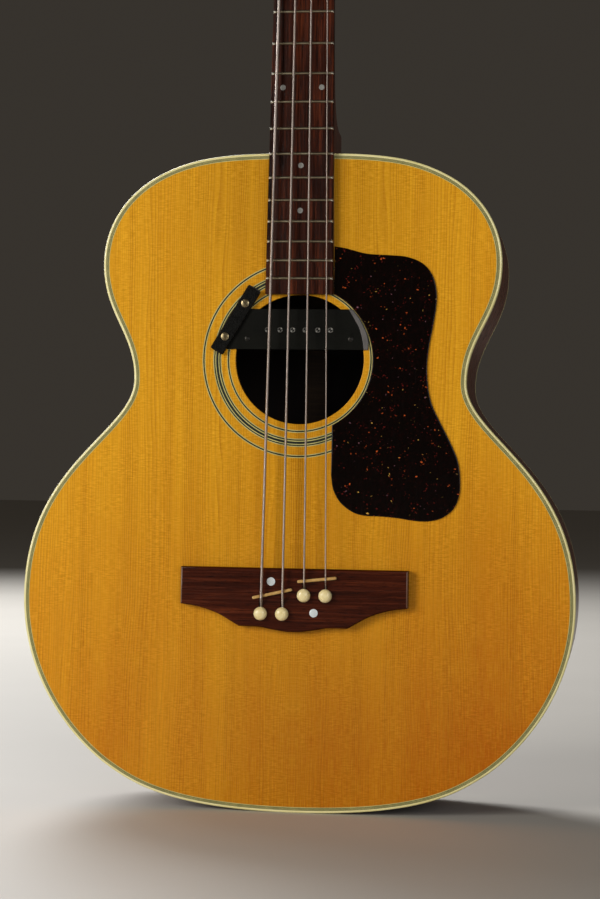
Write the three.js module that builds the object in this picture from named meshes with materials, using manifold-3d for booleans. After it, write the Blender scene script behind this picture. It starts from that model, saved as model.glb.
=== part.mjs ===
// Acoustic bass guitar with a jumbo body, four wound strings and a soundhole pickup.
// Millimetres. +Z runs up the neck, the soundboard faces -Y, and +X is the treble side.
// The origin is under the tail rim, on the centre line, halfway through the tail's depth.
import * as THREE from "three";
import { mergeVertices } from "three/addons/utils/BufferGeometryUtils.js";
import Module from "manifold-3d";

const wasm = await Module();
wasm.setup();

// Clearances
const FIT = 0.3; // between pieces that are glued, screwed or laid together
const INLAY_FIT = 0.15; // around a thin inlay in its channel
const OVERRUN = 2; // how far a cut runs past the face that it opens
const WELD = 0.0005; // vertices closer than this are one

// Layout of the strings
const SCALE_LENGTH = 781;
const SADDLE_SETBACK = 349.3; // from the body's upper end down to the scale's lower end
const FRET_COUNT = 20;

// Body
const BODY_LENGTH = 539.3;
const TAIL_DEPTH = 124;
const SHOULDER_DEPTH = 104; // where the neck meets the body
const LOWER_BOUT_WIDTH = 455.8;
const LOWER_BOUT_HEIGHT = 172.6;
const WAIST_WIDTH = 274.7;
const WAIST_SETBACK = 187.1; // from the body's upper end
const UPPER_BOUT_WIDTH = 329.7;
const UPPER_BOUT_SETBACK = 90.7;
const TAIL_CORNER_LEAN = 33.2; // degrees from level, halfway round the tail
const SHOULDER_LEAN = 29.2; // degrees from level, halfway round the shoulder
const TOP_THICKNESS = 3.2;
const BACK_THICKNESS = 3;
const BACK_ARCH = 6; // rise of the back's middle above its rim
const SIDE_THICKNESS = 2.8;
const BINDING_WIDTH = 2.2;
const BINDING_DEPTH = 6;
const PURFLING_WIDTH = 3;
const PURFLING_DEPTH = 1.2;
const LINING_WIDTH = 5.5;
const LINING_DEPTH = 16;
const NECK_BLOCK_WIDTH = 84;
const NECK_BLOCK_HEIGHT = 52;
const TAIL_BLOCK_WIDTH = 90;
const TAIL_BLOCK_HEIGHT = 20;

// Braces and bridge plate inside the body
const BRACE_WIDTH = 8;
const BRACE_DEPTH = 15;
const BRACE_TIP_DEPTH = 4;
const BRACE_TAPER = 45; // length over which a brace thins to its tip
const TRANSVERSE_WIDTH = 12;
const CROSSING_LEAN = 49; // degrees between each leg of the X and the centre line
const CROSSING_MARGIN = 10.5; // level, from the bridge plate's corner to the middle of a leg
const CENTRE_STRIP_WIDTH = 16;
const CENTRE_STRIP_DEPTH = 3;
const BRIDGE_PLATE_WIDTH = 152;
const BRIDGE_PLATE_THICKNESS = 2.5;
const BRIDGE_PLATE_MARGIN = 3; // past the bridge's edges, up and down

// Soundhole, rosette and pickguard
const SOUNDHOLE_RADIUS = 53;
const SOUNDHOLE_SETBACK = 52; // from the fingerboard's end down to its centre
const ROSETTE_DEPTH = 1.2;
const INNER_RING = { radius: 59.3, width: 1.2 };
const MIDDLE_RING = { radius: 67.85, width: 5.3 };
const OUTER_RING = { radius: 79.45, width: 1.4 };
const PICKGUARD_THICKNESS = 1.5;
const PICKGUARD_REACH = 107.5; // from its inner arc's centre line to its outer edge, level
const PICKGUARD_RISE = 91.5; // of its upper edge above the soundhole's centre
const PICKGUARD_ABOVE_BRIDGE = 40.2; // from the bridge's upper edge to its lower edge
const PICKGUARD_HOLE_MARGIN = 7; // width of soundboard left showing round the soundhole

// Neck and fingerboard
const NUT_WIDTH = 42;
const NUT_THICKNESS = 4.5;
const BOARD_END_WIDTH = 56;
const BOARD_END_BELOW_FRET = 13;
const BOARD_THICKNESS = 6.5;
const FRET_WIDTH = 2.4;
const FRET_HEIGHT = 1.2;
const FRET_SEAT = 0.5;
const NECK_DEPTH_AT_NUT = 15.5;
const NECK_DEPTH_AT_HEEL = 18;
const HEEL_CAP_THICKNESS = 2.5;
const HEEL_CAP_LENGTH = 22;
const HEEL_SWEEP = 70; // length of the curve from the heel cap's edge to the neck's back
const ROD_DIAMETER = 5;
const ROD_DEPTH = 6.5; // of its centre below the fingerboard
const ROD_SETBACK = 12; // of its lower end from the body
const ROD_REACH = 17; // past the nut
const ROD_NUT_DIAMETER = 7;
const ROD_NUT_LENGTH = 11;

// Headstock
const HEAD_LENGTH = 204;
const HEAD_TILT = 12; // degrees back from the neck
const HEAD_THICKNESS = 15;
const HEAD_THROAT_WIDTH = 45;
const HEAD_SHOULDER_WIDTH = 76;
const HEAD_SHOULDER_HEIGHT = 34;
const HEAD_TOP_WIDTH = 86;
const HEAD_CORNER = 14;
const HEAD_CROWN = 8; // rise of the top edge at its middle
const VENEER_THICKNESS = 2;
const POCKET_WIDTH = 11;
const POCKET_HEIGHT = 26;
const POCKET_DEPTH = 10;
const COVER_WIDTH = 26;
const COVER_HEIGHT = 46;
const COVER_THICKNESS = 2;
const COVER_SETBACK = 5; // from the nut

// Tuning machines
const POST_SPACING = 54; // across the headstock
const LOWER_POST_HEIGHT = 58;
const UPPER_POST_HEIGHT = 134;
const POST_RADIUS = 4.7;
const POST_LENGTH = 19; // above the headstock's wood
const POST_CHAMFER = 0.75;
const SPINDLE_RADIUS = 3;
const SPINDLE_START = 12; // depth in the wood at which the post narrows to its spindle
const BUSHING_RADIUS = 6.7;
const BUSHING_DEPTH = 9;
const BUSHING_FLANGE_RADIUS = 9;
const BUSHING_FLANGE_THICKNESS = 2.2;
const PLATE_WIDTH = 24;
const PLATE_HEIGHT = 38;
const PLATE_THICKNESS = 2;
const PLATE_RISE = 13; // of its upper edge above the post's axis
const PLATE_CORNER = 3;
const WHEEL_TEETH = 16;
const WHEEL_PITCH_RADIUS = 8;
const WHEEL_THICKNESS = 3.6;
const HUB_RADIUS = 4.2;
const HUB_SCREW_RADIUS = 3;
const HUB_SCREW_HEIGHT = 2.6;
const WORM_PITCH_RADIUS = 3;
const WORM_TURNS = 3;
const TOOTH_ADDENDUM = 0.7;
const TOOTH_DEDENDUM = 1;
const LUG_THICKNESS = 3;
const LUG_MARGIN = 1.3; // of metal round the key's shaft
const LUG_GAP = 0.6; // from each end of the worm
const KEY_COLLAR_RADIUS = 3.4;
const KEY_COLLAR_LENGTH = 2;
const KEY_STEM_RADIUS = 2.5;
const KEY_STEM_END = 22; // from the post's axis
const KEY_BUTTON_RADIUS = 12;
const KEY_BUTTON_THICKNESS = 5;

// Strings
const E_STRING_DIAMETER = 2.67;
const A_STRING_DIAMETER = 2.16;
const D_STRING_DIAMETER = 1.65;
const G_STRING_DIAMETER = 1.14;
const STRING_SPREAD_AT_SADDLE = 52.4;
const STRING_SPREAD_AT_NUT = 31.2;
const STRING_LIFT_AT_NUT = 0.5; // above the first fret
const SADDLE_TOP_HEIGHT = 12.5; // above the soundboard
const STRING_TAIL = 4; // length that hangs under the bridge plate
const STRING_CLEARANCE = 0.35; // round a string in a hole or slot
const WRAP_TOP = 14.2; // height of the string in the post's slot, above the headstock's wood
const WRAP_GAP = 0.7; // between neighbouring turns
const WRAP_TURNS = 2;
const WRAP_BEND = 2; // radius at which the string turns into the slot
const STEPS_PER_TURN = 24;
const STRING_SIDES = 6;

// Bridge
const BRIDGE_WIDTH = 186.8;
const BRIDGE_DEPTH = 51.6; // from its straight upper edge to the lowest point
const BRIDGE_THICKNESS = 9;
const BRIDGE_RISE = 9.3; // of its straight upper edge above the saddle line
const SADDLE_WIDTH = 2.5;
const SADDLE_SLOT_DEPTH = 6;
const BASS_SADDLE = { x: -17.1, rise: -11.4, length: 33.5, lean: 12.8 }; // rise above the saddle line
const TREBLE_SADDLE = { x: 19.5, rise: 0.6, length: 32.4, lean: 6.4 };
const PIN_HEAD_RADIUS = 5.5;
const PIN_HEAD_HEIGHT = 6;
const PIN_SHAFT_RADIUS = 3.2;
const PIN_TIP_RADIUS = 2.5;
const PIN_LENGTH = 26;
const PIN_SPREAD = 53; // between the outer pins
const BASS_PIN_DROP = 27.7; // below the saddle line
const TREBLE_PIN_DROP = 12.3;
const RAMP_LENGTH = 10;
const RAMP_DEPTH = 5;
const DOT_RADIUS = 3.5;
const DOT_THICKNESS = 1.2;
const BASS_DOT = { x: -18.5, rise: -1.6 };
const TREBLE_DOT = { x: 16.9, rise: -26.5 };

// Pickup
const PICKUP_UPPER_EDGE = 41; // above the soundhole's centre
const PICKUP_LOWER_EDGE = 7.5;
const PICKUP_FACE_RISE = 1.2; // of its face above the soundboard
const PICKUP_BODY_DEPTH = 14;
const PICKUP_LIP_THICKNESS = 2;
const PICKUP_LIP_RADIUS = 57.5;
const CLAMP_WIDTH = 11;
const CLAMP_THICKNESS = 3;
const CLAMP_LOW = { x: -67.5, rise: 7.8 }; // rise above the soundhole's centre
const CLAMP_HIGH = { x: -33.6, rise: 57 };
const CLAMP_SCREW_RADIUS = 3.4;
const CLAMP_SCREW_HEAD = 1.6;
const CLAMP_SCREW_SHANK_RADIUS = 1.5;
const CLAMP_SCREW_INSET = 13.5; // of each screw from the bar's end
const POLE_RADIUS = 2.2;
const POLE_LINE = 24.5; // above the soundhole's centre
const POLE_RISE = 0.6;
const POLE_SPACING = 10.4;
const POLE_COUNT = 6;

// Places that follow from the sizes above
const topY = -TAIL_DEPTH / 2;
const topUnderside = topY + TOP_THICKNESS;
const saddleLine = BODY_LENGTH - SADDLE_SETBACK;
const bridgeEdge = saddleLine + BRIDGE_RISE;
const nutHeight = saddleLine + SCALE_LENGTH;
const headBase = nutHeight + NUT_THICKNESS;
const degrees = THREE.MathUtils.degToRad;
const fretHeight = (fret) => nutHeight - SCALE_LENGTH * (1 - 2 ** (-fret / 12));
const boardEnd = fretHeight(FRET_COUNT) - BOARD_END_BELOW_FRET;
const soundholeHeight = boardEnd - SOUNDHOLE_SETBACK;
const soundholeCentre = new THREE.Vector2(0, soundholeHeight);

const finish = {
  spruce: { color: 0xcf9038, roughness: 0.38, metalness: 0 },
  mahogany: { color: 0x5a2c16, roughness: 0.4, metalness: 0 },
  rosewood: { color: 0x4a2317, roughness: 0.55, metalness: 0 },
  lining: { color: 0xb98a55, roughness: 0.8, metalness: 0 },
  maple: { color: 0xc9a26a, roughness: 0.75, metalness: 0 },
  binding: { color: 0xd9cf95, roughness: 0.4, metalness: 0 },
  purfling: { color: 0x5b5f45, roughness: 0.5, metalness: 0 },
  rosette: { color: 0x33362c, roughness: 0.5, metalness: 0 },
  tortoise: { color: 0x2a0f0e, roughness: 0.2, metalness: 0 },
  bone: { color: 0xd9c48c, roughness: 0.45, metalness: 0 },
  pearl: { color: 0xc9cdd2, roughness: 0.25, metalness: 0 },
  blackPlastic: { color: 0x141414, roughness: 0.45, metalness: 0 },
  nickel: { color: 0xb9b7b0, roughness: 0.3, metalness: 1 },
  steel: { color: 0x8f8f8c, roughness: 0.4, metalness: 1 },
  wound: { color: 0xa9a49a, roughness: 0.4, metalness: 1 },
  veneer: { color: 0x22120d, roughness: 0.35, metalness: 0 },
};

// A geometry with shared vertices, no slivers and its faces pointing out.
function welded(geometry) {
  const plain = geometry.clone();
  plain.deleteAttribute("normal");
  plain.deleteAttribute("uv");
  plain.clearGroups();
  const merged = mergeVertices(plain, WELD);
  const position = merged.getAttribute("position");
  const corners = merged.index.array;
  const kept = [];
  const [a, b, c] = [new THREE.Vector3(), new THREE.Vector3(), new THREE.Vector3()];
  let sixVolumes = 0;
  for (let i = 0; i < corners.length; i += 3) {
    const [p, q, r] = [corners[i], corners[i + 1], corners[i + 2]];
    if (p === q || q === r || r === p) continue;
    kept.push(p, q, r);
    a.fromBufferAttribute(position, p);
    b.fromBufferAttribute(position, q);
    c.fromBufferAttribute(position, r);
    sixVolumes += a.dot(b.cross(c));
  }
  if (sixVolumes < 0) kept.reverse();
  merged.setIndex(kept);
  return merged;
}

function solidOf(geometry) {
  const mesh = welded(geometry);
  return new wasm.Manifold(
    new wasm.Mesh({
      numProp: 3,
      vertProperties: new Float32Array(mesh.getAttribute("position").array),
      triVerts: new Uint32Array(mesh.index.array),
    }),
  );
}

function geometryOf(solid) {
  const mesh = solid.getMesh();
  const geometry = new THREE.BufferGeometry();
  geometry.setAttribute("position", new THREE.BufferAttribute(mesh.vertProperties, mesh.numProp));
  geometry.setIndex(new THREE.BufferAttribute(mesh.triVerts, 1));
  return geometry;
}

function joined(...geometries) {
  return geometryOf(geometries.map(solidOf).reduce((whole, piece) => whole.add(piece)));
}

function cut(geometry, ...tools) {
  return geometryOf(tools.map(solidOf).reduce((rest, tool) => rest.subtract(tool), solidOf(geometry)));
}

// A plate parallel to the soundboard: the outline's x and y lie along X and Z, and the
// plate grows towards -Y from backY.
function plate(shape, thickness, backY, curveSegments = 18) {
  const geometry = new THREE.ExtrudeGeometry(shape, { depth: thickness, bevelEnabled: false, curveSegments });
  return geometry.rotateX(Math.PI / 2).translate(0, backY, 0);
}

// A plate in the headstock's own frame, where z points out of the front face.
function headPlate(shape, low, high, curveSegments = 6) {
  const depth = high - low;
  const geometry = new THREE.ExtrudeGeometry(shape, { depth, bevelEnabled: false, curveSegments });
  return geometry.translate(0, 0, low);
}

// A surface through a list of rings with equal counts of points, capped unless it closes on itself.
function loft(sections, closesOnItself = false) {
  const count = sections[0].length;
  const positions = sections.flat().flatMap((point) => [point.x, point.y, point.z]);
  const faces = [];
  const spans = closesOnItself ? sections.length : sections.length - 1;
  for (let i = 0; i < spans; i++) {
    const here = i * count;
    const next = ((i + 1) % sections.length) * count;
    for (let j = 0; j < count; j++) {
      const k = (j + 1) % count;
      faces.push(here + j, here + k, next + k, here + j, next + k, next + j);
    }
  }
  const last = (sections.length - 1) * count;
  for (let j = 1; !closesOnItself && j < count - 1; j++) {
    faces.push(0, j + 1, j, last, last + j, last + j + 1);
  }
  const geometry = new THREE.BufferGeometry();
  geometry.setAttribute("position", new THREE.Float32BufferAttribute(positions, 3));
  geometry.setIndex(faces);
  return geometry;
}

// A round bar through a list of points, with a ring square to the path at each one.
function tube(points, radius, sides = STRING_SIDES) {
  const directions = points.map((_, i) => {
    const before = points[Math.max(i - 1, 0)];
    const after = points[Math.min(i + 1, points.length - 1)];
    return after.clone().sub(before).normalize();
  });
  const side = new THREE.Vector3(1, 0, 0).cross(directions[0]);
  const sections = points.map((point, i) => {
    side.addScaledVector(directions[i], -side.dot(directions[i])).normalize();
    const up = directions[i].clone().cross(side);
    return Array.from({ length: sides }, (_, j) => {
      const turn = (2 * Math.PI * j) / sides;
      const out = side.clone().multiplyScalar(Math.cos(turn) * radius);
      return out.addScaledVector(up, Math.sin(turn) * radius).add(point);
    });
  });
  return loft(sections);
}

// A turned piece about the z axis, from pairs of radius and height.
function turned(profile, segments) {
  const points = profile.map(([radius, height]) => new THREE.Vector2(radius, height));
  return new THREE.LatheGeometry(points, segments).rotateX(Math.PI / 2);
}

function box(low, high) {
  const size = high.clone().sub(low);
  const middle = high.clone().add(low).multiplyScalar(0.5);
  return new THREE.BoxGeometry(size.x, size.y, size.z).translate(middle.x, middle.y, middle.z);
}

function circleShape(x, y, radius) {
  const shape = new THREE.Shape();
  shape.absarc(x, y, radius, 0, 2 * Math.PI, false);
  return shape;
}

function ringShape(centre, outer, inner) {
  const shape = circleShape(centre.x, centre.y, outer);
  shape.holes.push(circleShape(centre.x, centre.y, inner));
  return shape;
}

function roundedRectangle(left, right, bottom, top, corner) {
  const shape = new THREE.Shape();
  shape.absarc(right - corner, bottom + corner, corner, -Math.PI / 2, 0, false);
  shape.absarc(right - corner, top - corner, corner, 0, Math.PI / 2, false);
  shape.absarc(left + corner, top - corner, corner, Math.PI / 2, Math.PI, false);
  shape.absarc(left + corner, bottom + corner, corner, Math.PI, 1.5 * Math.PI, false);
  return shape;
}

// Outline of the body: the right half as six curves from the tail to the neck.
const tailCornerShares = { half: 0.676, height: 0.192 };
const shoulderShares = { half: 0.737, height: 0.787 };
const handleShares = [
  [0.1906, 0.046],
  [0.0565, 0.1383],
  [0.204, 0.0814],
  [0.0717, 0.0786],
  [0.064, 0.0477],
  [0.0653, 0.1138],
];
const samplesPerCurve = [4, 6, 6, 4, 4, 4];

function outlineNodes() {
  const lower = LOWER_BOUT_WIDTH / 2;
  const upper = UPPER_BOUT_WIDTH / 2;
  const tailCornerHeight = LOWER_BOUT_HEIGHT * tailCornerShares.height;
  const shoulderHeight = BODY_LENGTH - (1 - shoulderShares.height) * UPPER_BOUT_SETBACK;
  return [
    { x: 0, z: 0, lean: 0 },
    { x: lower * tailCornerShares.half, z: tailCornerHeight, lean: TAIL_CORNER_LEAN },
    { x: lower, z: LOWER_BOUT_HEIGHT, lean: 90 },
    { x: WAIST_WIDTH / 2, z: BODY_LENGTH - WAIST_SETBACK, lean: 90 },
    { x: upper, z: BODY_LENGTH - UPPER_BOUT_SETBACK, lean: 90 },
    { x: upper * shoulderShares.half, z: shoulderHeight, lean: 180 - SHOULDER_LEAN },
    { x: 0, z: BODY_LENGTH, lean: 180 },
  ];
}

function halfOutline() {
  const nodes = outlineNodes();
  const samples = [];
  handleShares.forEach(([startShare, endShare], i) => {
    const [from, to] = [nodes[i], nodes[i + 1]];
    const leave = new THREE.Vector2(Math.cos(degrees(from.lean)), Math.sin(degrees(from.lean)));
    const arrive = new THREE.Vector2(Math.cos(degrees(to.lean)), Math.sin(degrees(to.lean)));
    const start = new THREE.Vector2(from.x, from.z);
    const end = new THREE.Vector2(to.x, to.z);
    const curve = new THREE.CubicBezierCurve(
      start,
      start.clone().addScaledVector(leave, startShare * BODY_LENGTH),
      end.clone().addScaledVector(arrive, -endShare * BODY_LENGTH),
      end,
    );
    const count = samplesPerCurve[i];
    for (let j = i === 0 ? 0 : 1; j <= count; j++) {
      const along = curve.getTangent(j / count);
      samples.push({ point: curve.getPoint(j / count), inward: new THREE.Vector2(-along.y, along.x) });
    }
  });
  samples[0].inward.set(0, 1);
  samples[samples.length - 1].inward.set(0, -1);
  return samples;
}

const rightHalf = halfOutline();
const leftHalf = rightHalf.map(({ point, inward }) => ({
  point: new THREE.Vector2(-point.x, point.y),
  inward: new THREE.Vector2(-inward.x, inward.y),
}));
const outline = [...rightHalf, ...leftHalf.slice(1, -1).reverse()];

const outlineAt = (inset) => outline.map(({ point, inward }) => point.clone().addScaledVector(inward, inset));

function outlineRing(outerInset, innerInset) {
  const shape = new THREE.Shape(outlineAt(outerInset));
  shape.holes.push(new THREE.Path(outlineAt(innerInset)));
  return shape;
}

// A ring that follows the body's rim along the soundboard, from a front face to a depth.
const topRing = (outerInset, innerInset, frontY, depth) =>
  plate(outlineRing(outerInset, innerInset), depth, frontY + depth);

// Distance from a point inside the body to the inset outline, along a direction.
function reach(origin, direction, inset) {
  const rim = outlineAt(inset);
  let nearest = Infinity;
  rim.forEach((start, i) => {
    const edge = rim[(i + 1) % rim.length].clone().sub(start);
    const across = direction.cross(edge);
    if (across === 0) return;
    const offset = start.clone().sub(origin);
    const distance = offset.cross(edge) / across;
    const along = offset.cross(direction) / across;
    if (distance > 0 && along >= 0 && along <= 1) nearest = Math.min(nearest, distance);
  });
  return nearest;
}

// The back leans in towards the neck, and its middle is arched outwards.
const archCentreShare = 0.71;
const archCentreHeight = THREE.MathUtils.lerp(LOWER_BOUT_HEIGHT, BODY_LENGTH - WAIST_SETBACK, archCentreShare);
const archCentre = new THREE.Vector2(0, archCentreHeight);
const backInset = BINDING_WIDTH + FIT;
const backPlane = (z) => TAIL_DEPTH / 2 - ((TAIL_DEPTH - SHOULDER_DEPTH) * z) / BODY_LENGTH;
const arch = (share) => BACK_ARCH * (1 - share ** 2);

function insideOfBack(x, z) {
  const offset = new THREE.Vector2(x, z).sub(archCentre);
  const length = offset.length();
  const share = length > 0 ? length / reach(archCentre, offset.clone().normalize(), backInset) : 0;
  return backPlane(z) + arch(Math.min(share, 1)) - BACK_THICKNESS;
}

function backGeometry() {
  const ringShares = [1, 0.8, 0.55, 0.28];
  const rim = outlineAt(backInset);
  const sheet = (lift) => {
    const rings = ringShares.map((share) =>
      rim.map((point) => {
        const at = archCentre.clone().lerp(point, share);
        return new THREE.Vector3(at.x, backPlane(at.y) + arch(share) - lift, at.y);
      }),
    );
    const middleY = backPlane(archCentre.y) + arch(0) - lift;
    return [...rings, rim.map(() => new THREE.Vector3(archCentre.x, middleY, archCentre.y))];
  };
  return loft([...sheet(0).reverse(), ...sheet(BACK_THICKNESS)]);
}

// Moves the rear face of a block, which starts at mid-depth, onto the inside of the back.
function seatedOnBack(geometry) {
  const position = geometry.getAttribute("position");
  for (let i = 0; i < position.count; i++) {
    if (position.getY(i) > -WELD) {
      position.setY(i, insideOfBack(position.getX(i), position.getZ(i)) - FIT);
    }
  }
  return geometry;
}

function sideGeometry(half) {
  const front = topY + BINDING_DEPTH;
  const back = (z) => backPlane(z) - BINDING_DEPTH - FIT;
  return loft(
    half.map(({ point, inward }) => {
      const inner = point.clone().addScaledVector(inward, SIDE_THICKNESS);
      return [
        new THREE.Vector3(point.x, front, point.y),
        new THREE.Vector3(point.x, back(point.y), point.y),
        new THREE.Vector3(inner.x, back(inner.y), inner.y),
        new THREE.Vector3(inner.x, front, inner.y),
      ];
    }),
  );
}

// A ring that follows the body's rim along the back, between two insets and two depths.
function backRing(outerInset, innerInset, highDepth, lowDepth) {
  const outer = outlineAt(outerInset);
  const inner = outlineAt(innerInset);
  return loft(
    outer.map((point, i) => [
      new THREE.Vector3(point.x, backPlane(point.y) - highDepth, point.y),
      new THREE.Vector3(point.x, backPlane(point.y) - lowDepth, point.y),
      new THREE.Vector3(inner[i].x, backPlane(inner[i].y) - lowDepth, inner[i].y),
      new THREE.Vector3(inner[i].x, backPlane(inner[i].y) - highDepth, inner[i].y),
    ]),
    true,
  );
}

const liningOuter = SIDE_THICKNESS + FIT;
const liningInner = liningOuter + LINING_WIDTH;
const braceInset = liningInner + FIT;

// A wooden block between soundboard and back that fills the rim between two heights, with
// the linings let into it.
function blockGeometry(width, low, high) {
  const inside = plate(new THREE.Shape(outlineAt(liningOuter)), -topUnderside, 0);
  const region = box(new THREE.Vector3(-width / 2, topUnderside, low), new THREE.Vector3(width / 2, 0, high));
  const block = welded(geometryOf(solidOf(inside).intersect(solidOf(region))));
  const notchInner = liningInner + FIT;
  const notchDepth = OVERRUN + LINING_DEPTH + FIT;
  const frontNotch = topRing(liningOuter - OVERRUN, notchInner, topUnderside - OVERRUN, notchDepth);
  const backNotch = backRing(
    liningOuter - OVERRUN,
    notchInner,
    -BACK_ARCH,
    BACK_THICKNESS + LINING_DEPTH + FIT + FIT,
  );
  return cut(seatedOnBack(block), frontNotch, backNotch);
}

// A straight brace under the soundboard with thinned tips.
function topBrace(start, end, width) {
  const along = end.clone().sub(start);
  const length = along.length();
  along.normalize();
  const across = new THREE.Vector2(-along.y, along.x).multiplyScalar(width / 2);
  const taper = Math.min(BRACE_TAPER, length / 3);
  const stations = [
    [0, BRACE_TIP_DEPTH],
    [taper, BRACE_DEPTH],
    [length - taper, BRACE_DEPTH],
    [length, BRACE_TIP_DEPTH],
  ];
  return loft(
    stations.map(([distance, depth]) => {
      const middle = start.clone().addScaledVector(along, distance);
      const [left, right] = [middle.clone().add(across), middle.clone().sub(across)];
      return [
        new THREE.Vector3(left.x, topUnderside, left.y),
        new THREE.Vector3(right.x, topUnderside, right.y),
        new THREE.Vector3(right.x, topUnderside + depth, right.y),
        new THREE.Vector3(left.x, topUnderside + depth, left.y),
      ];
    }),
  );
}

const crossingRise = (BRIDGE_PLATE_WIDTH / 2 + CROSSING_MARGIN) / Math.tan(degrees(CROSSING_LEAN));
const crossing = new THREE.Vector2(0, bridgeEdge + BRIDGE_PLATE_MARGIN + crossingRise);

function crossBraceGeometry() {
  const lean = degrees(CROSSING_LEAN);
  const legEnd = (sideways, upwards) => {
    const direction = new THREE.Vector2(sideways * Math.sin(lean), upwards * Math.cos(lean));
    const length = reach(crossing, direction, braceInset) - BRACE_WIDTH;
    return crossing.clone().addScaledVector(direction, length);
  };
  const fallingLeg = topBrace(legEnd(-1, 1), legEnd(1, -1), BRACE_WIDTH);
  const risingLeg = topBrace(legEnd(1, 1), legEnd(-1, -1), BRACE_WIDTH);
  const bassEnd = legEnd(-1, -1);
  const toneBarShares = [
    { start: 0.72, endX: 0.36, endHeight: 0.42 },
    { start: 0.9, endX: 0.04, endHeight: 0.3 },
  ];
  const toneBars = toneBarShares.map(({ start, endX, endHeight }) => {
    const from = crossing.clone().lerp(bassEnd, start);
    const to = new THREE.Vector2((endX * LOWER_BOUT_WIDTH) / 2, endHeight * LOWER_BOUT_HEIGHT);
    return topBrace(from, to, BRACE_WIDTH);
  });
  return joined(fallingLeg, risingLeg, ...toneBars);
}

const transverseHeightShare = 0.4; // of the way from the soundhole's edge to the neck block

function transverseBraceGeometry() {
  const holeEdge = soundholeHeight + SOUNDHOLE_RADIUS;
  const blockEdge = BODY_LENGTH - liningOuter - NECK_BLOCK_HEIGHT;
  const height = holeEdge + transverseHeightShare * (blockEdge - holeEdge);
  const half = reach(new THREE.Vector2(0, height), new THREE.Vector2(1, 0), braceInset) - BRACE_WIDTH / 2;
  return topBrace(new THREE.Vector2(-half, height), new THREE.Vector2(half, height), TRANSVERSE_WIDTH);
}

const backBraceShares = [0.13, 0.3, 0.5, 0.74];

function backBracingGeometry() {
  const braceStations = 8;
  const braces = backBraceShares.map((share) => {
    const height = share * BODY_LENGTH;
    const sideways = new THREE.Vector2(1, 0);
    const edges = [height - BRACE_WIDTH, height + BRACE_WIDTH];
    const half = Math.min(...edges.map((z) => reach(new THREE.Vector2(0, z), sideways, braceInset)));
    const taper = BRACE_TAPER / half;
    return loft(
      Array.from({ length: braceStations + 1 }, (_, i) => {
        const place = (2 * i) / braceStations - 1;
        const thinning = Math.min((1 - Math.abs(place)) / taper, 1);
        const depth = BRACE_TIP_DEPTH + (BRACE_DEPTH - BRACE_TIP_DEPTH) * thinning;
        const x = place * half;
        const [low, high] = [height - BRACE_WIDTH / 2, height + BRACE_WIDTH / 2];
        const [lowY, highY] = [insideOfBack(x, low) - FIT, insideOfBack(x, high) - FIT];
        return [
          new THREE.Vector3(x, lowY, low),
          new THREE.Vector3(x, highY, high),
          new THREE.Vector3(x, highY - depth, high),
          new THREE.Vector3(x, lowY - depth, low),
        ];
      }),
    );
  });
  const stripStart = liningOuter + TAIL_BLOCK_HEIGHT + FIT + BRACE_WIDTH;
  const stripEnd = BODY_LENGTH - liningOuter - NECK_BLOCK_HEIGHT - FIT - BRACE_WIDTH;
  const stripStations = 10;
  const strip = loft(
    Array.from({ length: stripStations + 1 }, (_, i) => {
      const z = stripStart + ((stripEnd - stripStart) * i) / stripStations;
      const half = CENTRE_STRIP_WIDTH / 2;
      const y = insideOfBack(half, z) - FIT;
      return [
        new THREE.Vector3(-half, y, z),
        new THREE.Vector3(half, y, z),
        new THREE.Vector3(half, y - CENTRE_STRIP_DEPTH, z),
        new THREE.Vector3(-half, y - CENTRE_STRIP_DEPTH, z),
      ];
    }),
  );
  return joined(strip, ...braces);
}

// Rosette rings and the soundboard that they are let into
const rosetteRings = { rosette_inner: INNER_RING, rosette_middle: MIDDLE_RING, rosette_outer: OUTER_RING };

const ringAround = ({ radius, width }, extra = 0) =>
  ringShape(soundholeCentre, radius + width / 2 + extra, radius - width / 2 - extra);

function soundboardGeometry() {
  const shape = new THREE.Shape(outlineAt(BINDING_WIDTH + FIT));
  shape.holes.push(circleShape(soundholeCentre.x, soundholeCentre.y, SOUNDHOLE_RADIUS));
  const channelDepth = PURFLING_DEPTH + INLAY_FIT;
  const [channelOuter, channelInner] = [BINDING_WIDTH - OVERRUN, purflingInner + INLAY_FIT];
  const purflingChannel = topRing(channelOuter, channelInner, topY - OVERRUN, OVERRUN + channelDepth);
  const ringDepth = ROSETTE_DEPTH + INLAY_FIT;
  const ringChannels = Object.values(rosetteRings).map((ring) =>
    plate(ringAround(ring, INLAY_FIT), ringDepth + OVERRUN, topY + ringDepth),
  );
  const pinHoles = pins.map((pin) => pinHole(pin));
  return cut(plate(shape, TOP_THICKNESS, topUnderside), purflingChannel, ...ringChannels, ...pinHoles);
}

const purflingOuter = BINDING_WIDTH + FIT;
const purflingInner = purflingOuter + PURFLING_WIDTH;

// Pickguard: an inner arc round the soundhole, then a bulging outer edge, as shares of its
// reach from the fingerboard's edge and of its height.
const pickguardShares = [
  [0.09, 0.993],
  [0.245, 0.974],
  [0.44, 0.968],
  [0.555, 0.962],
  [0.67, 0.939],
  [0.747, 0.895],
  [0.78, 0.837],
  [0.779, 0.782],
  [0.757, 0.709],
  [0.73, 0.636],
  [0.717, 0.563],
  [0.727, 0.49],
  [0.755, 0.428],
  [0.819, 0.363],
  [0.898, 0.29],
  [0.961, 0.218],
  [0.98, 0.146],
  [0.972, 0.092],
  [0.93, 0.045],
  [0.84, 0.012],
  [0.733, 0],
  [0.625, 0.002],
  [0.512, 0.01],
  [0.382, 0.015],
  [0.26, 0.017],
  [0.168, 0.029],
  [0.074, 0.063],
  [0.018, 0.11],
  [0, 0.162],
];

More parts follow.
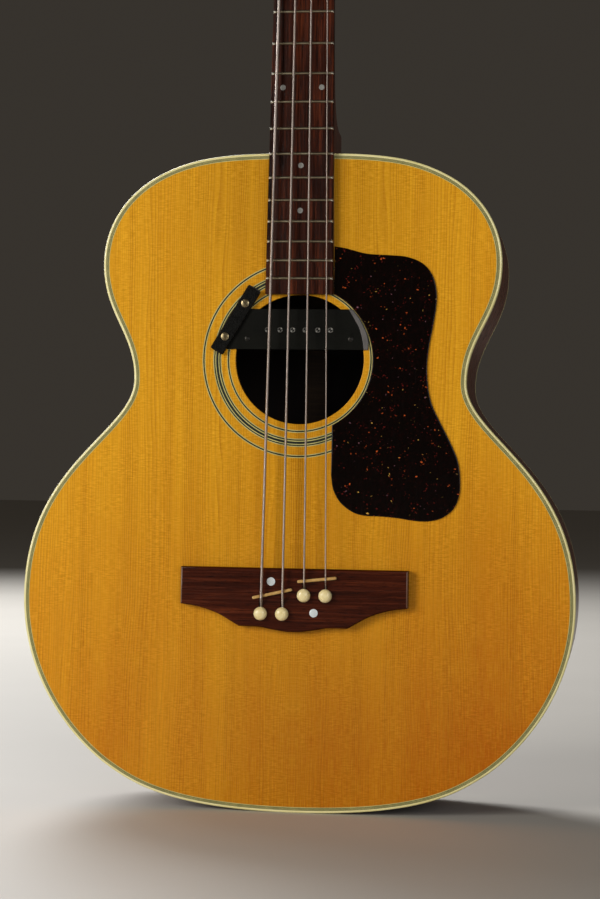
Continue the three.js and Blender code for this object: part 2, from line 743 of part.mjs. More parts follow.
const boardHalfWidth = (z) =>
  (NUT_WIDTH + ((BOARD_END_WIDTH - NUT_WIDTH) * (nutHeight - z)) / (nutHeight - boardEnd)) / 2;

function pickguardShape() {
  const left = boardHalfWidth(boardEnd) + FIT;
  const top = soundholeHeight + PICKGUARD_RISE;
  const bottom = bridgeEdge + PICKGUARD_ABOVE_BRIDGE;
  const innerRadius = SOUNDHOLE_RADIUS + PICKGUARD_HOLE_MARGIN;
  const edge = pickguardShares.map(([across, up]) => {
    const x = left + across * PICKGUARD_REACH;
    return new THREE.Vector2(x, THREE.MathUtils.lerp(bottom, top, up));
  });
  const low = new THREE.Vector2(left, soundholeHeight - Math.sqrt(innerRadius ** 2 - left ** 2));
  const shape = new THREE.Shape();
  shape.moveTo(left, top);
  shape.splineThru(edge);
  shape.lineTo(low.x, low.y);
  const startTurn = Math.atan2(low.y - soundholeHeight, low.x);
  const endTurn = Math.acos(left / innerRadius);
  shape.absarc(0, soundholeHeight, innerRadius, startTurn, endTurn, false);
  shape.lineTo(left, top);
  return shape;
}

// Fingerboard with its frets, and the nut
function fingerboardGeometry() {
  const [wide, narrow] = [boardHalfWidth(boardEnd), boardHalfWidth(nutHeight)];
  const shape = new THREE.Shape([
    new THREE.Vector2(-wide, boardEnd),
    new THREE.Vector2(wide, boardEnd),
    new THREE.Vector2(narrow, nutHeight),
    new THREE.Vector2(-narrow, nutHeight),
  ]);
  const surface = topY - BOARD_THICKNESS;
  const crownShares = [
    [-0.5, 0],
    [-0.3, 0.8],
    [0, 1],
    [0.3, 0.8],
    [0.5, 0],
  ];
  const frets = Array.from({ length: FRET_COUNT }, (_, i) => {
    const height = fretHeight(i + 1);
    const half = boardHalfWidth(height + FRET_WIDTH / 2) - FIT;
    return loft(
      [-half, half].map((x) => [
        new THREE.Vector3(x, surface + FRET_SEAT, height - FRET_WIDTH / 2),
        ...crownShares.map(
          ([along, rise]) =>
            new THREE.Vector3(x, surface - rise * FRET_HEIGHT, height + along * FRET_WIDTH),
        ),
        new THREE.Vector3(x, surface + FRET_SEAT, height + FRET_WIDTH / 2),
      ]),
    );
  });
  return joined(plate(shape, BOARD_THICKNESS, topY), ...frets);
}

// Neck: sections shared out from the shaft's curve and the heel's, blended along the sweep
const shaftSectionShares = [
  [1, 0],
  [0.97, 0.26],
  [0.87, 0.52],
  [0.68, 0.76],
  [0.4, 0.94],
  [0.14, 1],
];
const heelSectionShares = [
  [1, 0],
  [0.93, 0.2],
  [0.79, 0.42],
  [0.64, 0.66],
  [0.5, 0.9],
  [0.42, 1],
];

const heelStart = BODY_LENGTH + FIT;
const heelDepth = SHOULDER_DEPTH - HEEL_CAP_THICKNESS - FIT;
const sweepEnd = heelStart + HEEL_CAP_LENGTH + HEEL_SWEEP;
const shaftDepth = (z) =>
  THREE.MathUtils.lerp(NECK_DEPTH_AT_HEEL, NECK_DEPTH_AT_NUT, (z - sweepEnd) / (headBase - sweepEnd));

function neckSection(z) {
  const along = THREE.MathUtils.clamp((z - heelStart - HEEL_CAP_LENGTH) / HEEL_SWEEP, 0, 1);
  const heelShare = 1 - Math.sqrt(1 - (1 - along) ** 2);
  const depth = THREE.MathUtils.lerp(shaftDepth(Math.max(z, sweepEnd)), heelDepth, heelShare);
  const half = boardHalfWidth(z);
  const right = shaftSectionShares.map(([across, down], i) => {
    const [heelAcross, heelDown] = heelSectionShares[i];
    return new THREE.Vector3(
      half * THREE.MathUtils.lerp(across, heelAcross, Math.sqrt(heelShare)),
      topY + depth * THREE.MathUtils.lerp(down, heelDown, Math.sqrt(heelShare)),
      z,
    );
  });
  const left = right.map((point) => new THREE.Vector3(-point.x, point.y, point.z)).reverse();
  return [...right, ...left];
}

function heelCapGeometry() {
  const half = heelSectionShares.at(-1)[0] * boardHalfWidth(heelStart);
  const shape = roundedRectangle(-half, half, heelStart, heelStart + HEEL_CAP_LENGTH, HEEL_CAP_THICKNESS);
  return plate(shape, HEEL_CAP_THICKNESS, topY + SHOULDER_DEPTH, 2);
}

const sweepStationShares = [0, 0.04, 0.12, 0.25, 0.42, 0.62, 0.82, 1];

function headShape() {
  const [throat, shoulder, top] = [HEAD_THROAT_WIDTH / 2, HEAD_SHOULDER_WIDTH / 2, HEAD_TOP_WIDTH / 2];
  const flare = HEAD_SHOULDER_HEIGHT;
  const corner = HEAD_LENGTH - HEAD_CROWN;
  const shape = new THREE.Shape();
  shape.moveTo(-throat, 0);
  shape.lineTo(throat, 0);
  shape.bezierCurveTo(throat, flare / 3, shoulder, flare / 3, shoulder, flare);
  shape.lineTo(top, corner - HEAD_CORNER);
  shape.quadraticCurveTo(top, corner, top - HEAD_CORNER, corner);
  shape.quadraticCurveTo(top / 3, HEAD_LENGTH, 0, HEAD_LENGTH);
  shape.quadraticCurveTo(-top / 3, HEAD_LENGTH, HEAD_CORNER - top, corner);
  shape.quadraticCurveTo(-top, corner, -top, corner - HEAD_CORNER);
  shape.lineTo(-shoulder, flare);
  shape.bezierCurveTo(-shoulder, flare / 3, -throat, flare / 3, -throat, 0);
  return shape;
}

const headGroup = new THREE.Group();
headGroup.position.set(0, topY, headBase);
headGroup.rotation.x = Math.PI / 2 - degrees(HEAD_TILT);
headGroup.updateMatrixWorld();
const headMatrix = headGroup.matrixWorld;
const toHead = headMatrix.clone().invert();

const posts = [
  { string: "e", side: -1, height: LOWER_POST_HEIGHT },
  { string: "a", side: -1, height: UPPER_POST_HEIGHT },
  { string: "d", side: 1, height: UPPER_POST_HEIGHT },
  { string: "g", side: 1, height: LOWER_POST_HEIGHT },
].map((post) => ({ ...post, centre: new THREE.Vector2((post.side * POST_SPACING) / 2, post.height) }));

const bushingHoleRadius = BUSHING_RADIUS + FIT;
const postHole = ({ centre }, low, high) =>
  headPlate(circleShape(centre.x, centre.y, bushingHoleRadius), low, high, 7);

// The pocket at the throat that gives a wrench its way to the truss rod.
function pocket(low, high) {
  const half = POCKET_WIDTH / 2;
  return box(new THREE.Vector3(-half, -OVERRUN, low), new THREE.Vector3(half, POCKET_HEIGHT, high));
}

function neckGeometry() {
  const stations = sweepStationShares.map((share) => heelStart + HEEL_CAP_LENGTH + share * HEEL_SWEEP);
  const shaft = loft([heelStart, ...stations, headBase].map(neckSection));
  const head = headPlate(headShape(), -HEAD_THICKNESS, 0, 5).applyMatrix4(headMatrix);
  const headCuts = [
    ...posts.map((post) => postHole(post, -HEAD_THICKNESS - OVERRUN, OVERRUN)),
    pocket(-POCKET_DEPTH, OVERRUN),
  ].map((tool) => tool.applyMatrix4(headMatrix));
  const channelHalf = ROD_DIAMETER / 2 + FIT;
  const rodChannel = box(
    new THREE.Vector3(-channelHalf, topY - OVERRUN, heelStart + ROD_SETBACK - FIT),
    new THREE.Vector3(channelHalf, topY + ROD_DEPTH + channelHalf, headBase + OVERRUN),
  );
  return cut(joined(shaft, head), ...headCuts, rodChannel);
}

function veneerGeometry() {
  const whole = headPlate(headShape(), FIT, FIT + VENEER_THICKNESS, 5);
  const foot = box(
    new THREE.Vector3(-HEAD_THROAT_WIDTH, -OVERRUN, 0),
    new THREE.Vector3(HEAD_THROAT_WIDTH, FIT, FIT + VENEER_THICKNESS + OVERRUN),
  );
  const holes = posts.map((post) => postHole(post, 0, FIT + VENEER_THICKNESS + OVERRUN));
  return cut(whole, foot, ...holes, pocket(0, FIT + VENEER_THICKNESS + OVERRUN));
}

function rodGeometry() {
  const [start, end] = [heelStart + ROD_SETBACK, headBase + ROD_REACH];
  const [rod, nut] = [ROD_DIAMETER / 2, ROD_NUT_DIAMETER / 2];
  const profile = [
    [0, start],
    [rod, start],
    [rod, end - ROD_NUT_LENGTH],
    [nut, end - ROD_NUT_LENGTH],
    [nut, end],
    [0, end],
  ];
  return turned(profile, 12).translate(0, topY + ROD_DEPTH, 0);
}

function coverGeometry() {
  const half = COVER_WIDTH / 2;
  const [low, middle, high] = [0, 0.5, 1].map((share) => COVER_SETBACK + share * COVER_HEIGHT);
  const shape = new THREE.Shape();
  shape.moveTo(-half, low);
  shape.lineTo(half, low);
  shape.bezierCurveTo(half, middle, half / 2, high, 0, high);
  shape.bezierCurveTo(-half / 2, high, -half, middle, -half, low);
  const back = FIT + VENEER_THICKNESS + FIT;
  return headPlate(shape, back, back + COVER_THICKNESS);
}

// Strings: one unbroken tube each, from the bridge plate over saddle and nut to the post
const veneerFront = FIT + VENEER_THICKNESS;
const bridgeFront = topY - BRIDGE_THICKNESS;
const stringSpecs = [
  { name: "e", diameter: E_STRING_DIAMETER },
  { name: "a", diameter: A_STRING_DIAMETER },
  { name: "d", diameter: D_STRING_DIAMETER },
  { name: "g", diameter: G_STRING_DIAMETER },
];
const spreadShares = [-0.5, -1 / 6, 1 / 6, 0.5];

const pins = spreadShares.map((share, i) => ({
  x: share * PIN_SPREAD,
  height: saddleLine - (share < 0 ? BASS_PIN_DROP : TREBLE_PIN_DROP),
  string: stringSpecs[i],
}));

const pinHoleRadius = PIN_SHAFT_RADIUS + FIT;

function pinHole({ x, height }) {
  const inside = topUnderside + BRIDGE_PLATE_THICKNESS + OVERRUN;
  return plate(circleShape(x, height, pinHoleRadius), inside - bridgeFront + OVERRUN, inside, 5);
}

function saddleHeightAt(saddle, x) {
  return saddleLine + saddle.rise + (x - saddle.x) * Math.tan(degrees(saddle.lean));
}

const rampXShares = [0.2, 0.4]; // of the way from the pin to the saddle, where a string lies in its ramp

// Unwound part of a string, from its tail to the nut's upper face.
function stringRun(index) {
  const { diameter } = stringSpecs[index];
  const radius = diameter / 2;
  const pin = pins[index];
  const saddle = pin.x < 0 ? BASS_SADDLE : TREBLE_SADDLE;
  const saddleX = spreadShares[index] * STRING_SPREAD_AT_SADDLE;
  const crownHeight = saddleHeightAt(saddle, saddleX);
  const crownY = topY - SADDLE_TOP_HEIGHT - radius - FIT;
  const inHole = pin.height + pinHoleRadius - radius - FIT;
  const leaves = pin.height + PIN_HEAD_RADIUS;
  const tailY = topUnderside + BRIDGE_PLATE_THICKNESS + STRING_TAIL;
  const sunk = radius + STRING_CLEARANCE;
  const rampX = rampXShares.map((share) => THREE.MathUtils.lerp(pin.x, saddleX, share));
  const nutX = spreadShares[index] * STRING_SPREAD_AT_NUT;
  const nutY = topY - BOARD_THICKNESS - FRET_HEIGHT - STRING_LIFT_AT_NUT - radius;
  return [
    new THREE.Vector3(pin.x, tailY, inHole),
    new THREE.Vector3(pin.x, topUnderside, inHole),
    new THREE.Vector3(pin.x, bridgeFront + sunk + radius + FIT, inHole),
    new THREE.Vector3(rampX[0], bridgeFront + sunk, (inHole + leaves) / 2),
    new THREE.Vector3(rampX[1], bridgeFront + sunk / 2, leaves),
    new THREE.Vector3(saddleX, crownY, crownHeight - SADDLE_WIDTH / 2),
    new THREE.Vector3(saddleX, crownY, crownHeight + SADDLE_WIDTH / 2),
    new THREE.Vector3(nutX, nutY, nutHeight),
    new THREE.Vector3(nutX, nutY, headBase),
  ];
}

// Wound part, in the headstock's frame: up to the post, round it, and into its slot.
function stringWraps(index) {
  const { diameter } = stringSpecs[index];
  const radius = diameter / 2;
  const rise = WRAP_TURNS * (diameter + WRAP_GAP);
  const { centre, side } = posts[index];
  const run = stringRun(index);
  const from = run[run.length - 1].clone().applyMatrix4(toHead);
  const wrapRadius = POST_RADIUS + FIT + radius;
  const toPost = centre.clone().sub(new THREE.Vector2(from.x, from.y));
  const turnWay = -side;
  const heading = toPost.angle() - turnWay * Math.asin(wrapRadius / toPost.length());
  const start = heading - (turnWay * Math.PI) / 2;
  const steps = WRAP_TURNS * STEPS_PER_TURN;
  const points = [];
  const at = (distance, angle, height) =>
    new THREE.Vector3(centre.x + distance * Math.cos(angle), centre.y + distance * Math.sin(angle), height);
  for (let i = 0; i <= steps; i++) {
    const angle = start + (turnWay * 2 * Math.PI * i) / STEPS_PER_TURN;
    points.push(at(wrapRadius, angle, WRAP_TOP - rise * (1 - i / steps)));
  }
  const swing = Math.asin(WRAP_BEND / (wrapRadius - WRAP_BEND));
  const leaveAngle = start + turnWay * 2 * Math.PI * WRAP_TURNS;
  const bendCentre = at(wrapRadius - WRAP_BEND, leaveAngle, WRAP_TOP);
  const bendSteps = 5;
  for (let i = 1; i <= bendSteps; i++) {
    const angle = leaveAngle + (turnWay * (Math.PI / 2 + swing) * i) / bendSteps;
    const offset = new THREE.Vector3(WRAP_BEND * Math.cos(angle), WRAP_BEND * Math.sin(angle), 0);
    points.push(bendCentre.clone().add(offset));
  }
  points.push(at(0, 0, WRAP_TOP));
  return { points, bend: points.slice(-bendSteps - 4), slotAngle: leaveAngle + turnWay * swing };
}

function stringPoints(index) {
  const wraps = stringWraps(index).points.map((point) => point.clone().applyMatrix4(headMatrix));
  return [...stringRun(index), ...wraps];
}

// The least gap of a winding to itself, measured between points at least half a turn apart.
function leastGap(index) {
  const { diameter } = stringSpecs[index];
  const { points } = stringWraps(index);
  let least = Infinity;
  for (let i = 0; i < points.length; i++) {
    for (let j = i + STEPS_PER_TURN / 2; j < points.length; j++) {
      least = Math.min(least, points[i].distanceTo(points[j]) - diameter);
    }
  }
  return least;
}

stringSpecs.forEach(({ name }, i) => {
  console.log("string_" + name + ": least gap of its turns " + leastGap(i).toFixed(2) + " mm");
});

const stringGeometry = (index) => tube(stringPoints(index), stringSpecs[index].diameter / 2);
const stringRoom = (index) =>
  tube(stringRun(index), stringSpecs[index].diameter / 2 + STRING_CLEARANCE, STRING_SIDES + 2);

function nutGeometry() {
  const half = NUT_WIDTH / 2;
  const front = topY - BOARD_THICKNESS - FRET_HEIGHT - STRING_LIFT_AT_NUT - stringSpecs[0].diameter / 2;
  const whole = box(new THREE.Vector3(-half, front, nutHeight), new THREE.Vector3(half, topY, headBase));
  const slots = stringSpecs.map((_, i) => {
    const [low, high] = stringRun(i).slice(-2);
    const overrun = new THREE.Vector3(0, 0, OVERRUN);
    const room = stringSpecs[i].diameter / 2 + STRING_CLEARANCE;
    const above = new THREE.Vector3(0, -room - OVERRUN, 0);
    const round = tube([low.clone().sub(overrun), high.clone().add(overrun)], room);
    const open = box(
      low.clone().add(above).sub(overrun).sub(new THREE.Vector3(room, 0, 0)),
      high.clone().add(overrun).add(new THREE.Vector3(room, 0, 0)),
    );
    return joined(round, open);
  });
  return cut(whole, ...slots);
}

// Bridge: a straight upper edge and a lower edge that swells to its middle, as shares of
// half its width and of its depth
const bridgeEdgeShares = [
  [1, 0.59],
  [0.878, 0.62],
  [0.77, 0.668],
  [0.62, 0.765],
  [0.545, 0.862],
  [0.478, 0.925],
  [0.39, 0.925],
  [0.29, 0.932],
  [0.19, 0.965],
  [0.065, 0.998],
  [0, 1],
];

function bridgeShape() {
  const point = (across, down) =>
    new THREE.Vector2((across * BRIDGE_WIDTH) / 2, bridgeEdge - down * BRIDGE_DEPTH);
  const right = bridgeEdgeShares.map(([across, down]) => point(across, down));
  const left = bridgeEdgeShares.slice(0, -1).map(([across, down]) => point(-across, down));
  return new THREE.Shape([point(-1, 0), ...left, ...right.reverse(), point(1, 0)]);
}

function saddleBox(saddle, extra, depth, rise) {
  const low = new THREE.Vector3(-saddle.length / 2 - extra, bridgeFront - rise, -SADDLE_WIDTH / 2 - extra);
  const high = new THREE.Vector3(saddle.length / 2 + extra, bridgeFront + depth, SADDLE_WIDTH / 2 + extra);
  return box(low, high).rotateY(-degrees(saddle.lean)).translate(saddle.x, 0, saddleLine + saddle.rise);
}

// Sloped cut from a pin's hole towards the saddle, which lets the string out of the bridge.
function ramp(pin) {
  const shape = new THREE.Shape([
    new THREE.Vector2(0, OVERRUN),
    new THREE.Vector2(0, -RAMP_DEPTH),
    new THREE.Vector2(pinHoleRadius, -RAMP_DEPTH),
    new THREE.Vector2(RAMP_LENGTH, 0),
    new THREE.Vector2(RAMP_LENGTH, OVERRUN),
  ]);
  const width = pin.string.diameter + 2 * STRING_CLEARANCE + FIT;
  const geometry = new THREE.ExtrudeGeometry(shape, { depth: width, bevelEnabled: false });
  const basis = new THREE.Matrix4().makeBasis(
    new THREE.Vector3(0, 0, 1),
    new THREE.Vector3(0, -1, 0),
    new THREE.Vector3(1, 0, 0),
  );
  return geometry.translate(0, 0, -width / 2).applyMatrix4(basis).translate(pin.x, bridgeFront, pin.height);
}

const dotDisc = ({ x, rise }, extra, thickness, backY) =>
  plate(circleShape(x, saddleLine + rise, DOT_RADIUS + extra), thickness, backY, 6);

function bridgeGeometry() {
  const recess = DOT_THICKNESS + INLAY_FIT;
  const cuts = [
    ...pins.map(pinHole),
    ...pins.map(ramp),
    saddleBox(BASS_SADDLE, FIT, SADDLE_SLOT_DEPTH + FIT, OVERRUN),
    saddleBox(TREBLE_SADDLE, FIT, SADDLE_SLOT_DEPTH + FIT, OVERRUN),
    dotDisc(BASS_DOT, INLAY_FIT, recess + OVERRUN, bridgeFront + recess),
    dotDisc(TREBLE_DOT, INLAY_FIT, recess + OVERRUN, bridgeFront + recess),
  ];
  return cut(plate(bridgeShape(), BRIDGE_THICKNESS, topY), ...cuts);
}

function pinGeometry(index) {
  const pin = pins[index];
  const profileShares = [
    [0, 1],
    [0.55, 0.9],
    [0.92, 0.6],
    [1, 0.35],
    [0.9, 0.1],
    [0.75, 0],
  ];
  const head = profileShares.map(([out, up]) => [out * PIN_HEAD_RADIUS, FIT + up * PIN_HEAD_HEIGHT]);
  const profile = [
    ...head,
    [PIN_SHAFT_RADIUS, FIT],
    [PIN_TIP_RADIUS, -PIN_LENGTH],
    [0, -PIN_LENGTH],
  ];
  const geometry = turned(profile, 12).rotateX(Math.PI / 2).translate(pin.x, bridgeFront, pin.height);
  return cut(geometry, stringRoom(index));
}

function bridgePlateGeometry() {
  const half = BRIDGE_PLATE_WIDTH / 2;
  const high = bridgeEdge + BRIDGE_PLATE_MARGIN;
  const low = bridgeEdge - BRIDGE_DEPTH - BRIDGE_PLATE_MARGIN;
  const whole = box(
    new THREE.Vector3(-half, topUnderside, low),
    new THREE.Vector3(half, topUnderside + BRIDGE_PLATE_THICKNESS, high),
  );
  return cut(whole, ...pins.map(pinHole));
}

// Pickup: a housing across the soundhole with a lip on its rim, held by a screwed bar
const clampStart = new THREE.Vector2(CLAMP_LOW.x, soundholeHeight + CLAMP_LOW.rise);
const clampEnd = new THREE.Vector2(CLAMP_HIGH.x, soundholeHeight + CLAMP_HIGH.rise);
const clampAlong = clampEnd.clone().sub(clampStart).normalize();
const clampAcross = new THREE.Vector2(clampAlong.y, -clampAlong.x);

const clampLength = clampEnd.distanceTo(clampStart);
const clampPoint = (along, across) =>
  clampStart.clone().addScaledVector(clampAlong, along).addScaledVector(clampAcross, across);
const clampScrews = [
  clampPoint(CLAMP_SCREW_INSET, 0),
  clampPoint(clampLength - CLAMP_SCREW_INSET, 0),
];
const wingShares = { low: 0.8, high: 0.5 }; // of the lip's inner radius, where the housing rises to the bar

function pickupGeometry() {
  const bodyRadius = SOUNDHOLE_RADIUS - 2 * FIT;
  const lipInner = bodyRadius - OVERRUN;
  const edges = [PICKUP_LOWER_EDGE, PICKUP_UPPER_EDGE];
  const [bottom, top] = edges.map((rise) => soundholeHeight + rise);
  const [bodyTurns, outerTurns, innerTurns] = [bodyRadius, PICKUP_LIP_RADIUS, lipInner].map((radius) =>
    edges.map((rise) => Math.asin(rise / radius)),
  );
  const hung = new THREE.Shape();
  hung.absarc(0, soundholeHeight, bodyRadius, bodyTurns[0], bodyTurns[1], false);
  hung.absarc(0, soundholeHeight, bodyRadius, Math.PI - bodyTurns[1], Math.PI - bodyTurns[0], false);
  const lip = new THREE.Shape();
  lip.absarc(0, soundholeHeight, PICKUP_LIP_RADIUS, outerTurns[0], outerTurns[1], false);
  lip.absarc(0, soundholeHeight, lipInner, innerTurns[1], innerTurns[0], true);
  const wing = new THREE.Shape([
    clampPoint(0, -CLAMP_WIDTH / 2),
    new THREE.Vector2(-lipInner * wingShares.low, bottom),
    new THREE.Vector2(-lipInner * wingShares.high, top),
    clampPoint(clampLength, CLAMP_WIDTH / 2),
    clampPoint(clampLength, -CLAMP_WIDTH / 2),
  ]);
  const front = topY - PICKUP_FACE_RISE;
  const poles = Array.from({ length: POLE_COUNT }, (_, i) => {
    const x = (i - (POLE_COUNT - 1) / 2) * POLE_SPACING;
    const shape = circleShape(x, soundholeHeight + POLE_LINE, POLE_RADIUS);
    return plate(shape, POLE_RISE + OVERRUN, front + OVERRUN, 4);
  });
  const whole = joined(
    plate(hung, PICKUP_BODY_DEPTH + PICKUP_FACE_RISE, topY + PICKUP_BODY_DEPTH, 4),
    plate(lip, PICKUP_LIP_THICKNESS, topY, 4),
    plate(wing, PICKUP_LIP_THICKNESS, topY),
    ...poles,
  );
  const shank = CLAMP_SCREW_SHANK_RADIUS + FIT;
  const screwHoles = clampScrews.map((at) =>
    plate(circleShape(at.x, at.y, shank), PICKUP_LIP_THICKNESS + OVERRUN - FIT, topY - FIT, 4),
  );
  return cut(whole, ...screwHoles);
}

const clampBack = topY - PICKUP_LIP_THICKNESS;

function clampGeometry() {
  const half = CLAMP_WIDTH / 2;
  const bar = new THREE.Shape([
    clampPoint(0, -half),
    clampPoint(0, half),
    clampPoint(clampLength, half),
    clampPoint(clampLength, -half),
  ]);
  const shank = CLAMP_SCREW_SHANK_RADIUS + FIT;
  const holes = clampScrews.map((at) =>
    plate(circleShape(at.x, at.y, shank), CLAMP_THICKNESS + 2 * OVERRUN, clampBack + OVERRUN, 4),
  );
  return cut(plate(bar, CLAMP_THICKNESS, clampBack), ...holes);
}

function clampScrewGeometry(at) {
  const underHead = clampBack - CLAMP_THICKNESS;
  const length = CLAMP_THICKNESS + PICKUP_LIP_THICKNESS - 2 * FIT;
  const profile = [
    [0, -length],
    [CLAMP_SCREW_SHANK_RADIUS, -length],
    [CLAMP_SCREW_SHANK_RADIUS, 0],
    [CLAMP_SCREW_RADIUS, 0],
    [CLAMP_SCREW_RADIUS, CLAMP_SCREW_HEAD],
    [0, CLAMP_SCREW_HEAD],
  ];
  return turned(profile, 12).rotateX(Math.PI / 2).translate(at.x, underHead, at.y);
}

// Tuning machines, each about its post's axis in the headstock's frame. The worm lies
// below the post, across the headstock, and turns the wheel on the post's rear end.
const toothPitch = (2 * Math.PI * WHEEL_PITCH_RADIUS) / WHEEL_TEETH;
const wormRadius = WORM_PITCH_RADIUS + TOOTH_ADDENDUM;
const shaftRadius = WORM_PITCH_RADIUS - TOOTH_DEDENDUM;
const gearDistance = WHEEL_PITCH_RADIUS + WORM_PITCH_RADIUS;
const plateBack = -HEAD_THICKNESS - FIT - PLATE_THICKNESS;
const wormDepth = plateBack - FIT - wormRadius;
const wormHalf = (WORM_TURNS * toothPitch) / 2;
const lugInner = wormHalf + LUG_GAP;
const lugOuter = lugInner + LUG_THICKNESS;

function wheelShape() {
  const tipRadius = WHEEL_PITCH_RADIUS + TOOTH_ADDENDUM;
  const rootRadius = WHEEL_PITCH_RADIUS - TOOTH_DEDENDUM;
  const toothShares = [
    [rootRadius, -0.305],
    [tipRadius, -0.11],
    [tipRadius, 0.11],
    [rootRadius, 0.305],
  ];
  const points = [];
  for (let tooth = 0; tooth < WHEEL_TEETH; tooth++) {
    for (const [radius, share] of toothShares) {
      const angle = -Math.PI / 2 + (2 * Math.PI * (tooth + 0.5 + share)) / WHEEL_TEETH;
      points.push(new THREE.Vector2(radius * Math.cos(angle), radius * Math.sin(angle)));
    }
  }
  return new THREE.Shape(points);
}

// The wheel's teeth lie along the worm's thread.
function wheelGeometry() {
  const low = wormDepth - WHEEL_THICKNESS / 2;
  const geometry = headPlate(wheelShape(), low, low + WHEEL_THICKNESS);
  const position = geometry.getAttribute("position");
  const turnPerDepth = toothPitch / (2 * Math.PI * WORM_PITCH_RADIUS * WHEEL_PITCH_RADIUS);
  const point = new THREE.Vector3();
  for (let i = 0; i < position.count; i++) {
    point.fromBufferAttribute(position, i);
    point.applyAxisAngle(new THREE.Vector3(0, 0, 1), turnPerDepth * (point.z - wormDepth));
    position.setXYZ(i, point.x, point.y, point.z);
  }
  return geometry;
}

function postGeometry(index) {
  const wheelBack = wormDepth - WHEEL_THICKNESS / 2;
  const profile = [
    [0, wheelBack - HUB_SCREW_HEIGHT],
    [HUB_SCREW_RADIUS, wheelBack - HUB_SCREW_HEIGHT],
    [HUB_SCREW_RADIUS, wormDepth],
    [HUB_RADIUS, wormDepth],
    [HUB_RADIUS, plateBack - FIT],
    [SPINDLE_RADIUS, plateBack - FIT],
    [SPINDLE_RADIUS, -SPINDLE_START],
    [POST_RADIUS, -SPINDLE_START],
    [POST_RADIUS, POST_LENGTH - POST_CHAMFER],
    [POST_RADIUS - POST_CHAMFER, POST_LENGTH],
    [0, POST_LENGTH],
  ];
  const { bend, slotAngle } = stringWraps(index);
  const { centre } = posts[index];
  const room = stringSpecs[index].diameter / 2 + STRING_CLEARANCE;
  const slot = box(
    new THREE.Vector3(-room, -room, WRAP_TOP - room),
    new THREE.Vector3(POST_RADIUS + OVERRUN, room, POST_LENGTH + OVERRUN),
  ).rotateZ(slotAngle);
  const mouth = tube(bend, room).translate(-centre.x, -centre.y, 0);
  return cut(joined(turned(profile, 12), wheelGeometry()), slot, mouth);
}

const threadShares = [1, 1, 0, 0, 0, 0]; // height of the thread at sixths of a turn

// The key's shaft, worm, collar and stem along x below the post, and a clover button at its end.
function keyGeometry(side) {
  const sides = threadShares.length;
  const rows = WORM_TURNS * sides;
  const ring = (x, radiusAt) =>
    Array.from({ length: sides }, (_, j) => {
      const turn = (2 * Math.PI * j) / sides;
      return new THREE.Vector3(x, radiusAt(j) * Math.cos(turn), radiusAt(j) * Math.sin(turn));
    });
  const plain = (distance, radius) => ring(side * distance, () => radius);
  const worm = Array.from({ length: rows + 1 }, (_, i) => {
    const row = (i - rows / 2) * side;
    const atEnd = i === 0 || i === rows;
    return ring((row * toothPitch) / sides, (j) => {
      const share = threadShares[(((row - j) % sides) + sides) % sides];
      return atEnd ? shaftRadius : shaftRadius + share * (wormRadius - shaftRadius);
    });
  });
  const collarStart = lugOuter + FIT;
  const shaft = loft([
    plain(-lugOuter - LUG_GAP, shaftRadius),
    ...worm,
    plain(collarStart, shaftRadius),
    plain(collarStart, KEY_COLLAR_RADIUS),
    plain(collarStart + KEY_COLLAR_LENGTH, KEY_COLLAR_RADIUS),
    plain(collarStart + KEY_COLLAR_LENGTH, KEY_STEM_RADIUS),
    plain(KEY_STEM_END + KEY_BUTTON_RADIUS / 2, KEY_STEM_RADIUS),
  ]);
  return joined(shaft, buttonGeometry(side)).translate(0, -gearDistance, wormDepth);
}

function buttonGeometry(side) {
  const lobeShares = { base: 0.8, lobe: 0.2 };
  const pointCount = 24;
  const lobes = 3;
  const centre = side * (KEY_STEM_END + KEY_BUTTON_RADIUS * (lobeShares.base - lobeShares.lobe));
  const points = Array.from({ length: pointCount }, (_, i) => {
    const turn = (2 * Math.PI * i) / pointCount;
    const radius = KEY_BUTTON_RADIUS * (lobeShares.base + lobeShares.lobe * Math.cos(lobes * turn));
    return new THREE.Vector2(centre + side * radius * Math.cos(turn), radius * Math.sin(turn));
  });
  return headPlate(new THREE.Shape(points), -KEY_BUTTON_THICKNESS / 2, KEY_BUTTON_THICKNESS / 2);
}

function tunerPlateGeometry() {
  const half = PLATE_WIDTH / 2;
  const base = headPlate(
    roundedRectangle(-half, half, PLATE_RISE - PLATE_HEIGHT, PLATE_RISE, PLATE_CORNER),
    plateBack,
    plateBack + PLATE_THICKNESS,
    2,
  );
  const lugHalf = shaftRadius + LUG_MARGIN;
  const lug = (left, right) =>
    box(
      new THREE.Vector3(left, -gearDistance - lugHalf, wormDepth - lugHalf),
      new THREE.Vector3(right, -gearDistance + lugHalf, plateBack + PLATE_THICKNESS / 2),
    );
  const shaftHole = headPlate(circleShape(0, 0, shaftRadius + FIT), -lugOuter - OVERRUN, lugOuter + OVERRUN);
  shaftHole.rotateY(Math.PI / 2).translate(0, -gearDistance, wormDepth);
  const spindleHole = headPlate(
    circleShape(0, 0, SPINDLE_RADIUS + FIT),
    plateBack - OVERRUN,
    plateBack + PLATE_THICKNESS + OVERRUN,
    6,
  );
  return cut(joined(base, lug(-lugOuter, -lugInner), lug(lugInner, lugOuter)), shaftHole, spindleHole);
}

function bushingGeometry() {
  const flangeBack = veneerFront + FIT;
  const bore = POST_RADIUS + FIT;
  const profile = [
    [bore, -BUSHING_DEPTH],
    [BUSHING_RADIUS, -BUSHING_DEPTH],
    [BUSHING_RADIUS, flangeBack],
    [BUSHING_FLANGE_RADIUS, flangeBack],
    [BUSHING_FLANGE_RADIUS, flangeBack + BUSHING_FLANGE_THICKNESS / 2],
    [BUSHING_RADIUS, flangeBack + BUSHING_FLANGE_THICKNESS],
    [bore, flangeBack + BUSHING_FLANGE_THICKNESS],
    [bore, -BUSHING_DEPTH],
  ];
  return turned(profile, 12);
}

